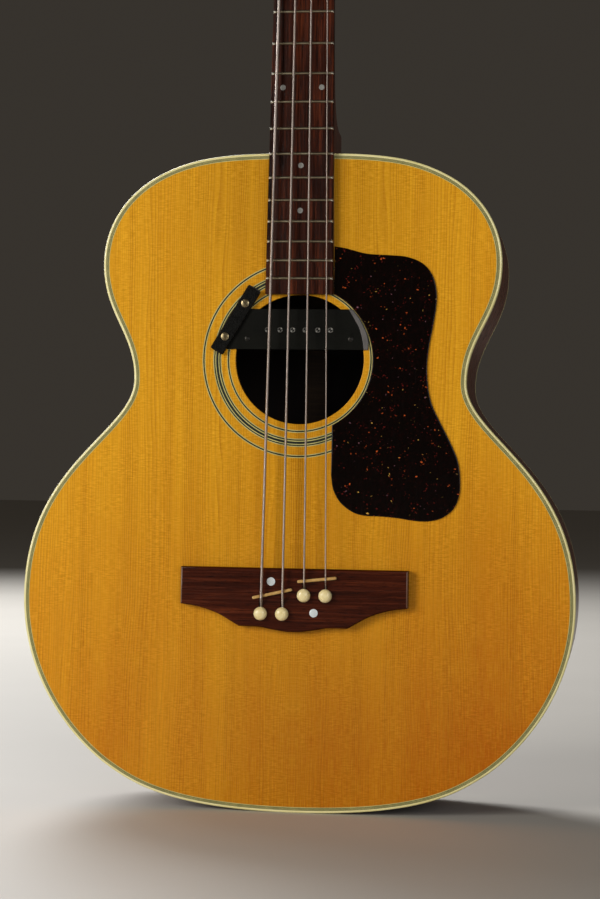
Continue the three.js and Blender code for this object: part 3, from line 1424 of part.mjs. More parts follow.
// Assembly
const guitar = new THREE.Group();

function add(name, geometry, look, parent = guitar) {
  const mesh = new THREE.Mesh(welded(geometry), new THREE.MeshStandardMaterial(look));
  mesh.name = name;
  parent.add(mesh);
}

add("soundboard", soundboardGeometry(), finish.spruce);
add("back", backGeometry(), finish.mahogany);
add("side_treble", sideGeometry(rightHalf), finish.mahogany);
add("side_bass", sideGeometry(leftHalf), finish.mahogany);
add("binding_top", topRing(0, BINDING_WIDTH, topY, BINDING_DEPTH), finish.binding);
add("binding_back", backRing(0, BINDING_WIDTH, 0, BINDING_DEPTH), finish.binding);
add("purfling_top", topRing(purflingOuter, purflingInner, topY, PURFLING_DEPTH), finish.purfling);
add("lining_top", topRing(liningOuter, liningInner, topUnderside, LINING_DEPTH), finish.lining);
const underBack = BACK_THICKNESS + FIT;
add("lining_back", backRing(liningOuter, liningInner, underBack, underBack + LINING_DEPTH), finish.lining);

const neckBlockFoot = BODY_LENGTH - liningOuter - NECK_BLOCK_HEIGHT;
add("neck_block", blockGeometry(NECK_BLOCK_WIDTH, neckBlockFoot, BODY_LENGTH), finish.mahogany);
add("tail_block", blockGeometry(TAIL_BLOCK_WIDTH, 0, liningOuter + TAIL_BLOCK_HEIGHT), finish.mahogany);
add("x_brace", crossBraceGeometry(), finish.spruce);
add("transverse_brace", transverseBraceGeometry(), finish.spruce);
add("back_bracing", backBracingGeometry(), finish.spruce);
add("bridge_plate", bridgePlateGeometry(), finish.maple);

for (const [name, ring] of Object.entries(rosetteRings)) {
  add(name, plate(ringAround(ring), ROSETTE_DEPTH, topY + ROSETTE_DEPTH), finish.rosette);
}
add("pickguard", plate(pickguardShape(), PICKGUARD_THICKNESS, topY, 2), finish.tortoise);

add("bridge", bridgeGeometry(), finish.rosewood);
const bridgeTrim = { bass: [BASS_SADDLE, BASS_DOT], treble: [TREBLE_SADDLE, TREBLE_DOT] };
for (const [side, [saddle, dot]] of Object.entries(bridgeTrim)) {
  const rise = SADDLE_TOP_HEIGHT - BRIDGE_THICKNESS;
  add("saddle_" + side, saddleBox(saddle, 0, SADDLE_SLOT_DEPTH, rise), finish.bone);
  add("bridge_dot_" + side, dotDisc(dot, 0, DOT_THICKNESS, bridgeFront + DOT_THICKNESS), finish.pearl);
}

add("neck", neckGeometry(), finish.mahogany);
add("fingerboard", fingerboardGeometry(), finish.rosewood);
add("nut", nutGeometry(), finish.bone);
add("truss_rod", rodGeometry(), finish.steel);
add("heel_cap", heelCapGeometry(), finish.rosewood);

add("pickup_housing", pickupGeometry(), finish.blackPlastic);
add("pickup_clamp", clampGeometry(), finish.blackPlastic);
add("clamp_screw_low", clampScrewGeometry(clampScrews[0]), finish.nickel);
add("clamp_screw_high", clampScrewGeometry(clampScrews[1]), finish.nickel);

guitar.add(headGroup);
add("headstock_veneer", veneerGeometry(), finish.veneer, headGroup);
add("truss_rod_cover", coverGeometry(), finish.blackPlastic, headGroup);

posts.forEach(({ string, side, centre }, i) => {
  add("string_" + string, stringGeometry(i), finish.wound);
  add("bridge_pin_" + string, pinGeometry(i), finish.bone);
  const machine = new THREE.Group();
  machine.position.set(centre.x, centre.y, 0);
  headGroup.add(machine);
  add("post_bushing_" + string, bushingGeometry(), finish.nickel, machine);
  add("tuner_plate_" + string, tunerPlateGeometry(), finish.nickel, machine);
  add("string_post_" + string, postGeometry(i), finish.nickel, machine);
  add("tuner_key_" + string, keyGeometry(side), finish.nickel, machine);
});

export default guitar;
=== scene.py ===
"""Looks of the acoustic bass guitar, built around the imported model. Shapes are worked out in
millimetres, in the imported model's frame, and turned into metres when they become objects."""

from math import acos, asin, atan, atan2, cos, degrees, pi, radians, sin, sqrt, tan

import bmesh
import bpy
import numpy as np
from mathutils import Matrix, Vector
from mathutils.geometry import tessellate_polygon


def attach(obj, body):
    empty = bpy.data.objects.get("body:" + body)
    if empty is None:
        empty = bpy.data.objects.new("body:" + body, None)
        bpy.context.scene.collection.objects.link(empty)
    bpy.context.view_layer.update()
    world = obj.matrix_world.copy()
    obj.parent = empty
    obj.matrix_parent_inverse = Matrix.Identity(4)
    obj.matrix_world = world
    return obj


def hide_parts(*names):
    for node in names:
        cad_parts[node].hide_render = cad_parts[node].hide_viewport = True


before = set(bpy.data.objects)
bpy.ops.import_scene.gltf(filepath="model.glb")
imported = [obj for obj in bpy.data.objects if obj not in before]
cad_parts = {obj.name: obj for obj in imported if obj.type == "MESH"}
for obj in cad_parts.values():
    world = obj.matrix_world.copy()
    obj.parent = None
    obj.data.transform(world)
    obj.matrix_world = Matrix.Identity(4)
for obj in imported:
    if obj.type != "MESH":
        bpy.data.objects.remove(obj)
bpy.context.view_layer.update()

MM = 0.001
STRINGS = ("e", "a", "d", "g")

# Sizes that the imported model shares, in millimetres
TOP_Y = -62.0
TOP_THICKNESS = 3.2
BODY_LENGTH = 539.3
BODY_DEPTH = 104.0  # at the neck
SADDLE_LINE = 190.0
NUT_LINE = 971.0
HEAD_BASE = 975.5
HEAD_PITCH = 12  # degrees that the headstock leans back
HEAD_THICKNESS = 15.0
BOARD_END = 423.0008
BOARD_Y = TOP_Y - 6.5
FRET_RISE = 1.2
HOLE_CENTRE = 370.0
HOLE_RADIUS = 53.0
HOLE_SHIFT = 0.5  # of the soundhole and its rings towards the treble side
BRIDGE_FRONT = TOP_Y - 9.0
VENEER_FRONT = 2.3
BURIED = 0.02  # that a piece stands inside what carries it


# ---------------------------------------------------------------- geometry
class Part:
    """Points and faces of one closed form, with a UV for each corner if the finish needs them."""

    def __init__(self, points, faces, uvs=None):
        self.points = np.array(points, float).reshape(-1, 3)
        self.faces = [tuple(int(i) for i in face) for face in faces]
        self.uvs = uvs

    def placed(self, matrix):
        return Part(self.points @ matrix[:3, :3].T + matrix[:3, 3], self.faces, self.uvs)


def frame_matrix(x_axis, y_axis, z_axis, origin=(0, 0, 0)):
    made = np.eye(4)
    made[:3, 0], made[:3, 1], made[:3, 2], made[:3, 3] = x_axis, y_axis, z_axis, origin
    return made


def shift(x, y, z):
    return frame_matrix((1, 0, 0), (0, 1, 0), (0, 0, 1), (x, y, z))


def turned_by(part, angle):
    """The part turned about its third axis by an angle in degrees."""
    c, s = cos(radians(angle)), sin(radians(angle))
    return part.placed(frame_matrix((c, s, 0), (-s, c, 0), (0, 0, 1)))


def turned_over(part, *place):
    """The part turned to point backwards and set at a place."""
    return part.placed(frame_matrix((1, 0, 0), (0, -1, 0), (0, 0, -1), place))


def faced(part, x, z, y=BRIDGE_FRONT):
    """A form whose third axis points forwards from the soundboard, set at a place."""
    return part.placed(frame_matrix((1, 0, 0), (0, 0, 1), (0, -1, 0), (x, y, z)))


HEAD_TURN = radians(90 - HEAD_PITCH)
FLAT = frame_matrix((1, 0, 0), (0, 0, 1), (0, 1, 0))  # a plate's depth runs along Y
HEAD = frame_matrix((1, 0, 0), (0, cos(HEAD_TURN), sin(HEAD_TURN)),
                    (0, -sin(HEAD_TURN), cos(HEAD_TURN)), (0, TOP_Y, HEAD_BASE))


def around(count):
    """Angles of points spread evenly round a circle."""
    return np.linspace(0, 2 * pi, count, endpoint=False)


def arc(x, y, radius, turns):
    """Points on a circle at the given angles."""
    return [(x + radius * cos(t), y + radius * sin(t)) for t in turns]


def welded(part, grid=1e-4):
    """The part with points in one place joined, and without the faces that this closes."""
    found, kept, places = {}, [], []
    for point in part.points:
        key = tuple(int(round(c / grid)) for c in point)
        if key not in found:
            found[key] = len(kept)
            kept.append(point)
        places.append(found[key])
    cleaned = [list(dict.fromkeys(places[i] for i in face)) for face in part.faces]
    return Part(kept, [corners for corners in cleaned if len(corners) > 2])


def quads(here, there, count):
    """Faces between two rings of points, from the number of each ring's first point."""
    steps = [(j, (j + 1) % count) for j in range(count)]
    return [(here + j, here + k, there + k, there + j) for j, k in steps]


def loft(sections, closes=False, caps=True):
    """Quads between rings with equal counts of points, with filled ends unless it closes."""
    count = len(sections[0])
    points = [tuple(p) for ring in sections for p in ring]
    faces = []
    for i in range(len(sections) if closes else len(sections) - 1):
        faces += quads(i * count, ((i + 1) % len(sections)) * count, count)
    if caps and not closes:
        faces.append(tuple(range(count))[::-1])
        faces.append(tuple(range(len(points) - count, len(points))))
    return Part(points, faces)


def lathe(profile, segments=48):
    """A turned form about its third axis, from pairs of radius and height."""
    rings = [[(r * cos(t), r * sin(t), h) for t in around(segments)] for r, h in profile]
    closes = profile[0] == profile[-1]
    return welded(loft(rings[:-1] if closes else rings, closes))


def rim(points):
    """A closed outline with the step into the material at each point, mitred at corners."""
    at = np.array(points, float)
    along = np.roll(at, -1, 0) - at
    along /= np.linalg.norm(along, axis=1, keepdims=True)
    after = np.stack([-along[:, 1], along[:, 0]], 1)
    before = np.roll(after, 1, 0)
    middle = before + after
    inward = middle / np.maximum((middle * before).sum(1, keepdims=True), 0.3)
    x, y = at.T
    area = (x * np.roll(y, -1) - np.roll(x, -1) * y).sum()
    return at, inward * (-1 if area < 0 else 1)


def round_hole(x, y, radius, count):
    """The rim of a round hole in a plate."""
    out = np.stack([np.cos(around(count)), np.sin(around(count))], 1)
    return np.array([x, y]) + radius * out, out


def rounded_box(half, low, high, radius):
    """Outline of a rectangle about the middle line, with rounded corners."""
    outline = []
    for x, y, begin in ((half - radius, low + radius, -90), (half - radius, high - radius, 0),
                        (radius - half, high - radius, 90), (radius - half, low + radius, 180)):
        outline += arc(x, y, radius, [radians(begin + t) for t in (0, 22.5, 45, 67.5, 90)])
    return outline


def mirrored(right):
    """Points of a half outline from its far end back, on the other side of the middle line."""
    return [(-x, y) for x, y in right[::-1]]


def plate(rims, profiles):
    """A plate between two flat faces, from rims and for each its pairs of inset and depth."""
    points, faces, ends = [], [], ([], [])
    for (at, inward), profile in zip(rims, profiles):
        start, count = len(points), len(at)
        for inset, depth in profile:
            points += [(x, y, depth) for x, y in at + inset * inward]
        for low in range(start, len(points) - count, count):
            faces += quads(low, low + count, count)
        ends[0].append(range(start, start + count))
        ends[1].append(range(len(points) - count, len(points)))
    for loops in ends:
        if len(loops) == 1:
            faces.append(tuple(loops[0]))
            continue
        flat = [i for loop in loops for i in loop]
        lines = [[Vector((*points[i][:2], 0)) for i in loop] for loop in loops]
        faces += [tuple(flat[k] for k in corners) for corners in tessellate_polygon(lines)]
    return Part(points, faces)


def rounded_edge(front, back, front_round, back_round=0.2, steps=4, support=0.15):
    """Inset and depth along a plate's edge, rounded at its front and its back. Depth may run
    either way."""
    way = 1 if back > front else -1
    quarter = np.linspace(0, pi / 2, steps + 1)
    pairs = [(front_round + support, front)]
    pairs += [(front_round * (1 - sin(t)), front + way * front_round * (1 - cos(t)))
              for t in quarter]
    pairs += [(back_round * (1 - cos(t)), back - way * back_round * (1 - sin(t)))
              for t in quarter]
    return pairs + [(back_round + support, back)]


def sheet(outline, profile, matrix=FLAT):
    """A plate from one outline and its pairs of inset and depth, set in its frame."""
    return plate([rim(outline)], [profile]).placed(matrix)


def box_part(low, high):
    (a, b, c), (d, e, f) = low, high
    return loft([[(a, b, z), (d, b, z), (d, e, z), (a, e, z)] for z in (c, f)])


def outward(mesh):
    """Turns the faces of a closed mesh to its outside."""
    form = bmesh.new()
    form.from_mesh(mesh)
    bmesh.ops.recalc_face_normals(form, faces=form.faces)
    form.to_mesh(mesh)
    form.free()


def linked(name, data):
    """A new object in the scene."""
    made = bpy.data.objects.new(name, data)
    bpy.context.scene.collection.objects.link(made)
    return made


def bare_object(part):
    mesh = bpy.data.meshes.new("bare")
    mesh.from_pydata([tuple(p) for p in part.points], [], part.faces)
    outward(mesh)
    return linked("bare", mesh)


def carved(part, *cutters):
    """The part with the cutters taken out of it."""
    target, tools = bare_object(part), [bare_object(c) for c in cutters]
    for tool in tools:
        cut = target.modifiers.new("cut", "BOOLEAN")
        cut.operation, cut.solver, cut.object = "DIFFERENCE", "EXACT", tool
    graph = bpy.context.evaluated_depsgraph_get()
    mesh = bpy.data.meshes.new_from_object(target.evaluated_get(graph))
    made = Part([tuple(v.co) for v in mesh.vertices], [tuple(p.vertices) for p in mesh.polygons])
    for old in (target, *tools):
        data = old.data
        bpy.data.objects.remove(old)
        bpy.data.meshes.remove(data)
    bpy.data.meshes.remove(mesh)
    return made


def tube(path, radius, sides):
    """A round bar along a path, with its turn and its length in millimetres as UVs."""
    path = [np.array(p, float) for p in path]
    ahead = [path[min(i + 1, len(path) - 1)] - path[max(i - 1, 0)] for i in range(len(path))]
    ahead = [a / np.linalg.norm(a) for a in ahead]
    side = np.cross((1, 0, 0), ahead[0])
    sections, lengths, run = [], [], 0.0
    for i, (point, way) in enumerate(zip(path, ahead)):
        side = side - way * (side @ way)
        side /= np.linalg.norm(side)
        up = np.cross(way, side)
        run += np.linalg.norm(point - path[i - 1]) if i else 0
        lengths.append(run)
        sections.append([point + radius * (side * cos(t) + up * sin(t)) for t in around(sides)])
    made = loft(sections)
    made.uvs = [
        [(j / sides, start), ((j + 1) / sides, start), ((j + 1) / sides, end), (j / sides, end)]
        for start, end in zip(lengths, lengths[1:]) for j in range(sides)
    ]
    made.uvs += [[(0.5, 0.0)] * sides, [(0.5, run)] * sides]
    return made


def spline(points, steps):
    """A smooth line through the points, which heads at each one as its neighbours lie."""
    at = np.array(points, float)
    last = len(at) - 1
    made = []
    for i in range(last):
        a, b, c, d = (at[min(max(i + k, 0), last)] for k in (-1, 0, 1, 2))
        for t in (j / steps for j in range(steps)):
            square, cube = 2 * a - 5 * b + 4 * c - d, 3 * b - a - 3 * c + d
            made.append(0.5 * (2 * b + (c - a) * t + square * t**2 + cube * t**3))
    return made + [at[-1]]


def bezier(points, steps):
    """Points along a curve from its control points, without the last."""
    made = []
    for i in range(steps):
        row, t = [np.array(p, float) for p in points], i / steps
        while len(row) > 1:
            row = [a + (b - a) * t for a, b in zip(row, row[1:])]
        made.append(row[0])
    return made


def softened(path, reach, steps=4):
    """A path with each inner corner turned into a short curve."""
    path = [np.array(p, float) for p in path]
    made = [path[0]]
    for before, corner, after in zip(path, path[1:], path[2:]):
        sides = [(d, np.linalg.norm(d)) for d in (before - corner, after - corner)]
        start, end = (corner + d / length * min(reach, 0.45 * length) for d, length in sides)
        made += bezier([start, corner, end], steps) + [end]
    return made + [path[-1]]


def piece(name, parts, looks, slot, replaces=(), body="root", angle=32, edges=None):
    """One visible object from one or more parts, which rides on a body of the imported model. Its
    edges may have a finish of their own, given with a test of a face's middle and normal."""
    parts = parts if isinstance(parts, list) else [parts]
    looks = looks if isinstance(looks, list) else [looks] * len(parts)
    kinds = list(dict.fromkeys(looks))
    points, faces, kind_of, uvs = [], [], [], []
    for part, look in zip(parts, looks):
        start = len(points)
        points += [tuple(p * MM) for p in part.points]
        faces += [tuple(start + i for i in face) for face in part.faces]
        kind_of += [kinds.index(look)] * len(part.faces)
        uvs += part.uvs or [[(0.0, 0.0)] * len(face) for face in part.faces]
    mesh = bpy.data.meshes.new(name)
    mesh.from_pydata(points, [], faces)
    if any(part.uvs for part in parts):
        flow = mesh.uv_layers.new(name="flow")
        corners = np.array([c for face in uvs for c in face], np.float32)
        flow.data.foreach_set("uv", corners.ravel())
    mesh.polygons.foreach_set("material_index", kind_of)
    for look in kinds:
        mesh.materials.append(look)
    outward(mesh)
    if edges:
        look, test = edges
        mesh.materials.append(look)
        for face in mesh.polygons:
            if test(face.center / MM, face.normal):
                face.material_index = len(kinds)
    mesh.shade_smooth()
    mesh.set_sharp_from_angle(angle=radians(angle))
    mesh.update()
    made = linked(name, mesh)
    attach(made, body)
    if replaces:
        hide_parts(*replaces)


# ---------------------------------------------------------------- finishes
def linear(*srgb):
    """A colour from its sRGB values of 0 to 255."""
    shares = [value / 255 for value in srgb]
    return *(c / 12.92 if c <= 0.04045 else ((c + 0.055) / 1.055) ** 2.4 for c in shares), 1.0


class Look:
    """A procedural material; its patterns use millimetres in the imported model's frame."""

    def __init__(self, name, roughness=0.5, metallic=0.0, coat=0.0, coat_roughness=0.06,
                 specular=0.5):
        self.material = bpy.data.materials.new(name)
        self.material.use_nodes = True
        self.tree = self.material.node_tree
        self.shader = next(n for n in self.tree.nodes if n.type == "BSDF_PRINCIPLED")
        for socket, value in {
            "Roughness": roughness,
            "Metallic": metallic,
            "Coat Weight": coat,
            "Coat Roughness": coat_roughness,
            "Specular IOR Level": specular,
        }.items():
            self.shader.inputs[socket].default_value = value
        self.place = self.node("TexCoord").outputs["Object"]

    def node(self, kind, inputs=None, **settings):
        made = self.tree.nodes.new("ShaderNode" + kind)
        for key, value in settings.items():
            setattr(made, key, value)
        for key, value in (inputs or {}).items():
            if isinstance(value, bpy.types.NodeSocket):
                self.tree.links.new(value, made.inputs[key])
            else:
                made.inputs[key].default_value = value
        return made

    def math(self, operation, a, b=0.5, clamp=False):
        return self.node("Math", {0: a, 1: b}, operation=operation, use_clamp=clamp).outputs[0]

    def times(self, a, b):
        return self.math("MULTIPLY", a, b)

    def plus(self, a, b):
        return self.math("ADD", a, b)

    def coords(self, sizes, offset=(0, 0, 0), fold=False):
        """Object coordinates over a pattern's size along each axis, in millimetres, where 0 leaves
        the axis out; fold mirrors them about the middle."""
        place = self.place
        if fold:
            place = self.node("VectorMath", {0: place}, operation="ABSOLUTE").outputs[0]
        factors = tuple(1 / size / MM if size else 0.0 for size in sizes)
        inputs = {0: place, 1: factors, 2: offset}
        return self.node("VectorMath", inputs, operation="MULTIPLY_ADD").outputs[0]

    def noise(self, sizes, detail=3.0, rough=0.6, distortion=0.0, offset=(0, 0, 0), fold=False):
        inputs = {"Vector": self.coords(sizes, offset, fold), "Scale": 1.0, "Detail": detail,
                  "Roughness": rough, "Distortion": distortion}
        return self.node("TexNoise", inputs).outputs[0]

    def ramp(self, factor, places, colours):
        made = self.node("ValToRGB", {0: factor})
        elements = made.color_ramp.elements
        while len(elements) < len(colours):
            elements.new(0.5)
        for element, place, colour in zip(elements, places, colours):
            element.position, element.color = place, colour
        return made.outputs[0]

    def mix(self, factor, a, b, blend="MIX"):
        inputs = {0: factor, 6: a, 7: b}
        return self.node("Mix", inputs, data_type="RGBA", blend_type=blend).outputs[2]

    def between(self, value, low, high, to_low=0.0, to_high=1.0):
        inputs = {0: value, 1: low, 2: high, 3: to_low, 4: to_high}
        return self.node("MapRange", inputs).outputs[0]

    def spread(self, noise, low, high):
        """Values between two ends, from the range that most of a noise lies in."""
        return self.between(noise, 0.3, 0.7, low, high)

    def split(self, vector):
        return self.node("SeparateXYZ", {0: vector}).outputs

    def wire(self, colour, roughness, height, strength, distance):
        """Links patterns to the shader; height is a bump whose depth is in millimetres."""
        self.tree.links.new(colour, self.shader.inputs["Base Color"])
        if roughness is not None:
            self.tree.links.new(roughness, self.shader.inputs["Roughness"])
        inputs = {"Strength": strength, "Distance": distance * MM, "Height": height}
        self.tree.links.new(self.node("Bump", inputs).outputs[0], self.shader.inputs["Normal"])
        return self.material

    def worn(self, colour, light, amount=0.6):
        """The colour with a lighter tone along the edges."""
        edge = self.node("NewGeometry").outputs["Pointiness"]
        return self.mix(self.between(edge, 0.53, 0.6, 0.0, amount), colour, light)


def wood(name, *tones, band, streak, pores, gloss, seed, along="z", fold=False, coat=0.0,
         contrast=1.0, depth=0.04, specular=0.5):
    """Wood with broad bands, streaks, fibres and pores that run along one axis."""
    look = Look(name, coat=coat, specular=specular)

    def grain(across, length, *settings):
        sizes = [across] * 3
        sizes["xyz".index(along)] = length
        return look.noise(sizes, *settings, offset=(seed, seed * 2, seed * 3), fold=fold)

    bands = grain(band, band * 14, 3.0, 0.55, 0.6)
    streaks = grain(streak, streak * 40, 4.0, 0.6, 0.3)
    fibres = grain(0.7, 22)
    tone = look.plus(look.times(bands, 0.42), look.times(streaks, 0.38))
    tone = look.plus(tone, look.times(fibres, 0.2))
    tone = look.between(tone, 0.5 - 0.17 / contrast, 0.5 + 0.17 / contrast)
    colours = [linear(*srgb) for srgb in tones]
    colour = look.ramp(tone, np.linspace(0.05, 0.95, len(colours)), colours)
    pore = look.between(grain(0.45, 6.5, 2.0, 0.5), 0.34, 0.42, 1.0, 0.0)
    colour = look.mix(look.times(pore, pores), colour, colours[0], "MULTIPLY")
    rough = look.spread(streaks, gloss - 0.05, gloss + 0.08)
    relief = look.math("SUBTRACT", look.times(fibres, 0.5), pore)
    return look.wire(colour, rough, relief, 0.25, depth)


RING_PITCH = 2.05  # of the spruce's annual rings, in millimetres
HONEY, AMBER = linear(228, 162, 30), linear(176, 83, 1)
LATE_WOOD, PALE_FIBRE = linear(150, 81, 5), linear(241, 186, 50)
SILK_LIT, SILK_DULL = (1.16, 1.22, 1.5, 1.0), (0.82, 0.78, 0.6, 1.0)  # factors on the colour


def spruce():
    """Aged top: annual rings mirrored about the centre seam, cross silk, warmer low down."""
    look = Look("spruce_top", coat=0.06, coat_roughness=0.15, specular=0.14)
    x, _, z = look.split(look.coords((1, 1, 1)))
    reach = look.math("ABSOLUTE", x)
    drift = look.noise((60, 0, 420), rough=0.5, fold=True)
    spacing = look.noise((38, 0, 0), 1.0, 0.5, offset=(7, 0, 0), fold=True)
    line = look.plus(look.plus(reach, look.times(drift, 26.0)), look.times(spacing, 30.0))
    ring = look.math("POWER", look.math("FRACT", look.math("DIVIDE", line, RING_PITCH)), 2.0)
    weight = look.noise((9, 0, 500), rough=0.7, offset=(3, 0, 0), fold=True)
    ring = look.times(ring, look.between(weight, 0.35, 0.65, 0.2, 1.0))
    fibre = look.noise((0.6, 0, 16), fold=True)
    streak = look.noise((2.6, 0, 220), offset=(6, 0, 2), fold=True)
    silk = look.noise((6, 0, 1.1), offset=(5, 0, 9), fold=True)
    patch = look.noise((26, 0, 30), offset=(1, 0, 8))
    broad = look.noise((45, 0, 260), rough=0.5, offset=(2, 0, 4))
    # Warmer, darker amber low down and towards the treble side: partly the wood's own tone, partly
    # painted shade of light from the upper left.
    low, treble = look.between(z, 330.0, 60.0), look.between(x, -60.0, 200.0)
    warm = look.times(low, look.plus(0.5, look.times(treble, 0.5)))
    warm = look.math("ADD", warm, look.spread(broad, -0.16, 0.16), clamp=True)
    colour = look.mix(warm, HONEY, AMBER)
    colour = look.mix(look.between(streak, 0.42, 0.7, 0.0, 0.24), colour, LATE_WOOD)
    colour = look.mix(look.times(ring, 0.72), colour, LATE_WOOD)
    colour = look.mix(look.between(fibre, 0.4, 0.8, 0.0, 0.3), colour, PALE_FIBRE)
    figured = look.between(patch, 0.42, 0.62, 0.15, 0.8)
    for start, end, factors in ((0.48, 0.66, SILK_LIT), (0.5, 0.34, SILK_DULL)):
        tinted = look.mix(1.0, colour, factors, "MULTIPLY")
        colour = look.mix(look.times(look.between(silk, start, end), figured), colour, tinted)
    # Painted light: brighter towards the rims and darker in the middle, with painted shade high on
    # the upper bout beside the fingerboard.
    shade = look.between(reach, 0.0, 225.0, 0.86, 1.06)
    upper = look.times(look.between(z, 415.0, 475.0), look.between(reach, 120.0, 30.0, 0.0, 0.12))
    colour = look.mix(1.0, colour, look.math("SUBTRACT", shade, upper), "MULTIPLY")
    rough = look.spread(silk, 0.22, 0.32)
    return look.wire(colour, rough, look.plus(ring, fibre), 0.12, 0.03)


def tortoise():
    """Near-black red sheet with drifts of small flecks from dark red to amber."""
    look = Look("tortoise_guard", roughness=0.2, coat=0.05, coat_roughness=0.05, specular=0.2)
    cloud = look.noise((17, 0, 22), 3.0, 0.6, 0.5, offset=(4, 0, 1))
    patch = look.noise((3.2, 0, 4.2), 4.0, 0.7, 1.5, offset=(9, 0, 3))
    amount = look.times(look.between(patch, 0.5, 0.72), look.between(cloud, 0.3, 0.6))
    colour = look.mix(look.times(amount, 0.6), linear(6, 2, 1), linear(34, 7, 7))
    for size, offset, low, high, often, tone in (
        (2.6, 1.0, 0.14, 0.3, 0.55, (92, 24, 20)),
        (3.4, 5.0, 0.14, 0.28, 0.585, (190, 84, 36)),
        (4.4, 8.0, 0.11, 0.22, 0.6, (214, 168, 78)),
        (4.0, 13.0, 0.1, 0.2, 0.6, (136, 92, 104)),
    ):
        place = look.coords((size, 0, size * 0.8), (offset, 0, offset * 2))
        inputs = {"Vector": place, "Scale": 1.7, "Detail": 3.0}
        wander = look.node("TexNoise", inputs).outputs[1]
        bent = look.node("VectorMath", {0: place, 1: wander}, operation="ADD").outputs[0]
        spot = look.node("TexVoronoi", {"Vector": bent, "Scale": 1.0}).outputs["Distance"]
        chance = look.noise((9, 0, 8), 2.0, offset=(offset * 3, 0, 2))
        shown = look.between(spot, high, low)
        shown = look.times(shown, look.between(chance, often, often + 0.05))
        colour = look.mix(shown, colour, linear(*tone))
    scratch = look.noise((0.5, 0, 18), 3.0, 0.7, 1.5, offset=(1, 0, 1))
    return look.wire(colour, look.between(scratch, 0.55, 0.75, 0.16, 0.3), patch, 0.05, 0.05)


def plastic(name, first, second, size, roughness, coat=0.0, edge=None, grain=0.9, specular=0.5):
    """Moulded or cast material with a slow change of tone and a fine surface."""
    look = Look(name, coat=coat, specular=specular)
    slow = look.noise([size] * 3, rough=0.55)
    fine = look.noise([grain] * 3)
    tone = look.mix(look.between(slow, 0.35, 0.65), linear(*first), linear(*second))
    if edge:
        tone = look.worn(tone, linear(*edge))
    rough = look.spread(fine, roughness - 0.06, roughness + 0.08)
    return look.wire(tone, rough, fine, 0.2, 0.01)


def metal(name, first, second, roughness, size=9.0, brushed=None):
    """Metal with slow stains, pale edges and a fine surface, which may be brushed along an axis."""
    look = Look(name, metallic=1.0)
    slow = look.noise([size] * 3, 4.0)
    sizes = [0.6] * 3
    if brushed is not None:
        sizes[brushed] = 12
    fine = look.noise(sizes, rough=0.65)
    tone = look.mix(look.between(slow, 0.38, 0.68), linear(*first), linear(*second))
    tone = look.worn(tone, linear(245, 242, 232), 0.4)
    rough = look.plus(look.spread(fine, roughness - 0.06, roughness + 0.06),
                      look.between(slow, 0.5, 0.8, 0.0, 0.12))
    return look.wire(tone, rough, fine, 0.12, 0.01)


def winding(name, pitch):
    """Round wire wound on a core: a helix of ridges from the string's own UVs."""
    look = Look(f"winding_{name}", metallic=1.0)
    turn, length, _ = look.split(look.node("UVMap", uv_map="flow").outputs[0])
    phase = look.plus(look.math("DIVIDE", length, pitch), turn)
    ridge = look.math("ABSOLUTE", look.math("SINE", look.times(phase, pi)))
    worn = look.noise((3, 3, 30))
    # Dark in the grooves between turns: painted shade; the ridges keep the wire's bright tone.
    tone = look.mix(look.between(ridge, 0.0, 0.6), linear(66, 58, 52), linear(220, 205, 196))
    tone = look.mix(look.between(worn, 0.45, 0.75, 0.0, 0.35), tone, linear(150, 138, 118))
    return look.wire(tone, look.spread(worn, 0.28, 0.42), ridge, 0.7, pitch * 0.3)


def pearl(name, *tones):
    look = Look(name, roughness=0.2, coat=0.3)
    sheen = look.noise((1.6, 1.6, 1.1), 3.0, 0.6, 2.5)
    colour = look.ramp(sheen, (0.3, 0.45, 0.55, 0.7), [linear(*srgb) for srgb in tones])
    return look.wire(colour, look.spread(sheen, 0.15, 0.3), sheen, 0.1, 0.03)


SPRUCE, TORTOISE = spruce(), tortoise()
RED_BROWNS = (52, 22, 12), (92, 42, 22), (124, 62, 34)
MAHOGANY = wood("mahogany_gloss", *RED_BROWNS, band=26, streak=4, fold=True, pores=0.6, gloss=0.3,
                coat=0.5, seed=2.0, contrast=0.8)
SIDE_WOOD = wood("mahogany_sides", *RED_BROWNS, band=18, streak=4, pores=0.6, gloss=0.28, coat=0.1,
                 seed=5.0, contrast=0.8, specular=0.15)
NECK_WOOD = wood("mahogany_neck", (60, 26, 14), (98, 46, 25), (126, 64, 36), band=20, streak=3,
                 pores=0.5, gloss=0.32, coat=0.12, seed=9.0, contrast=0.8, specular=0.2)
BRIDGE_WOOD = wood("rosewood_bridge", (26, 6, 2), (60, 20, 6), (94, 40, 16), along="x", band=7,
                   streak=1.6, pores=0.7, gloss=0.24, seed=3.0, depth=0.06, specular=0.14)
# Pale rosewood for the bridge's end bevels: a painted highlight.
BRIDGE_END_HIGHLIGHT = wood("rosewood_painted_highlight", (70, 44, 32), (120, 88, 70), (152, 120, 98), band=7,
                        streak=1.6, pores=0.4, gloss=0.3, seed=8.0)
CAP_WOOD = wood("rosewood_cap", (24, 9, 5), (62, 27, 15), (92, 46, 28), band=7, streak=1.6,
                pores=0.6, gloss=0.35, seed=6.0)
BOARD_WOOD = wood("rosewood_board", (16, 5, 2), (48, 18, 8), (96, 42, 19), band=9, streak=2.2,
                  pores=0.7, gloss=0.28, seed=4.0, contrast=1.35, depth=0.06, specular=0.14)
VENEER_WOOD = wood("head_veneer", (14, 6, 4), (36, 16, 9), (62, 30, 18), band=12, streak=2.2,
                   pores=0.5, gloss=0.24, coat=0.25, seed=7.0, depth=0.02, specular=0.25)
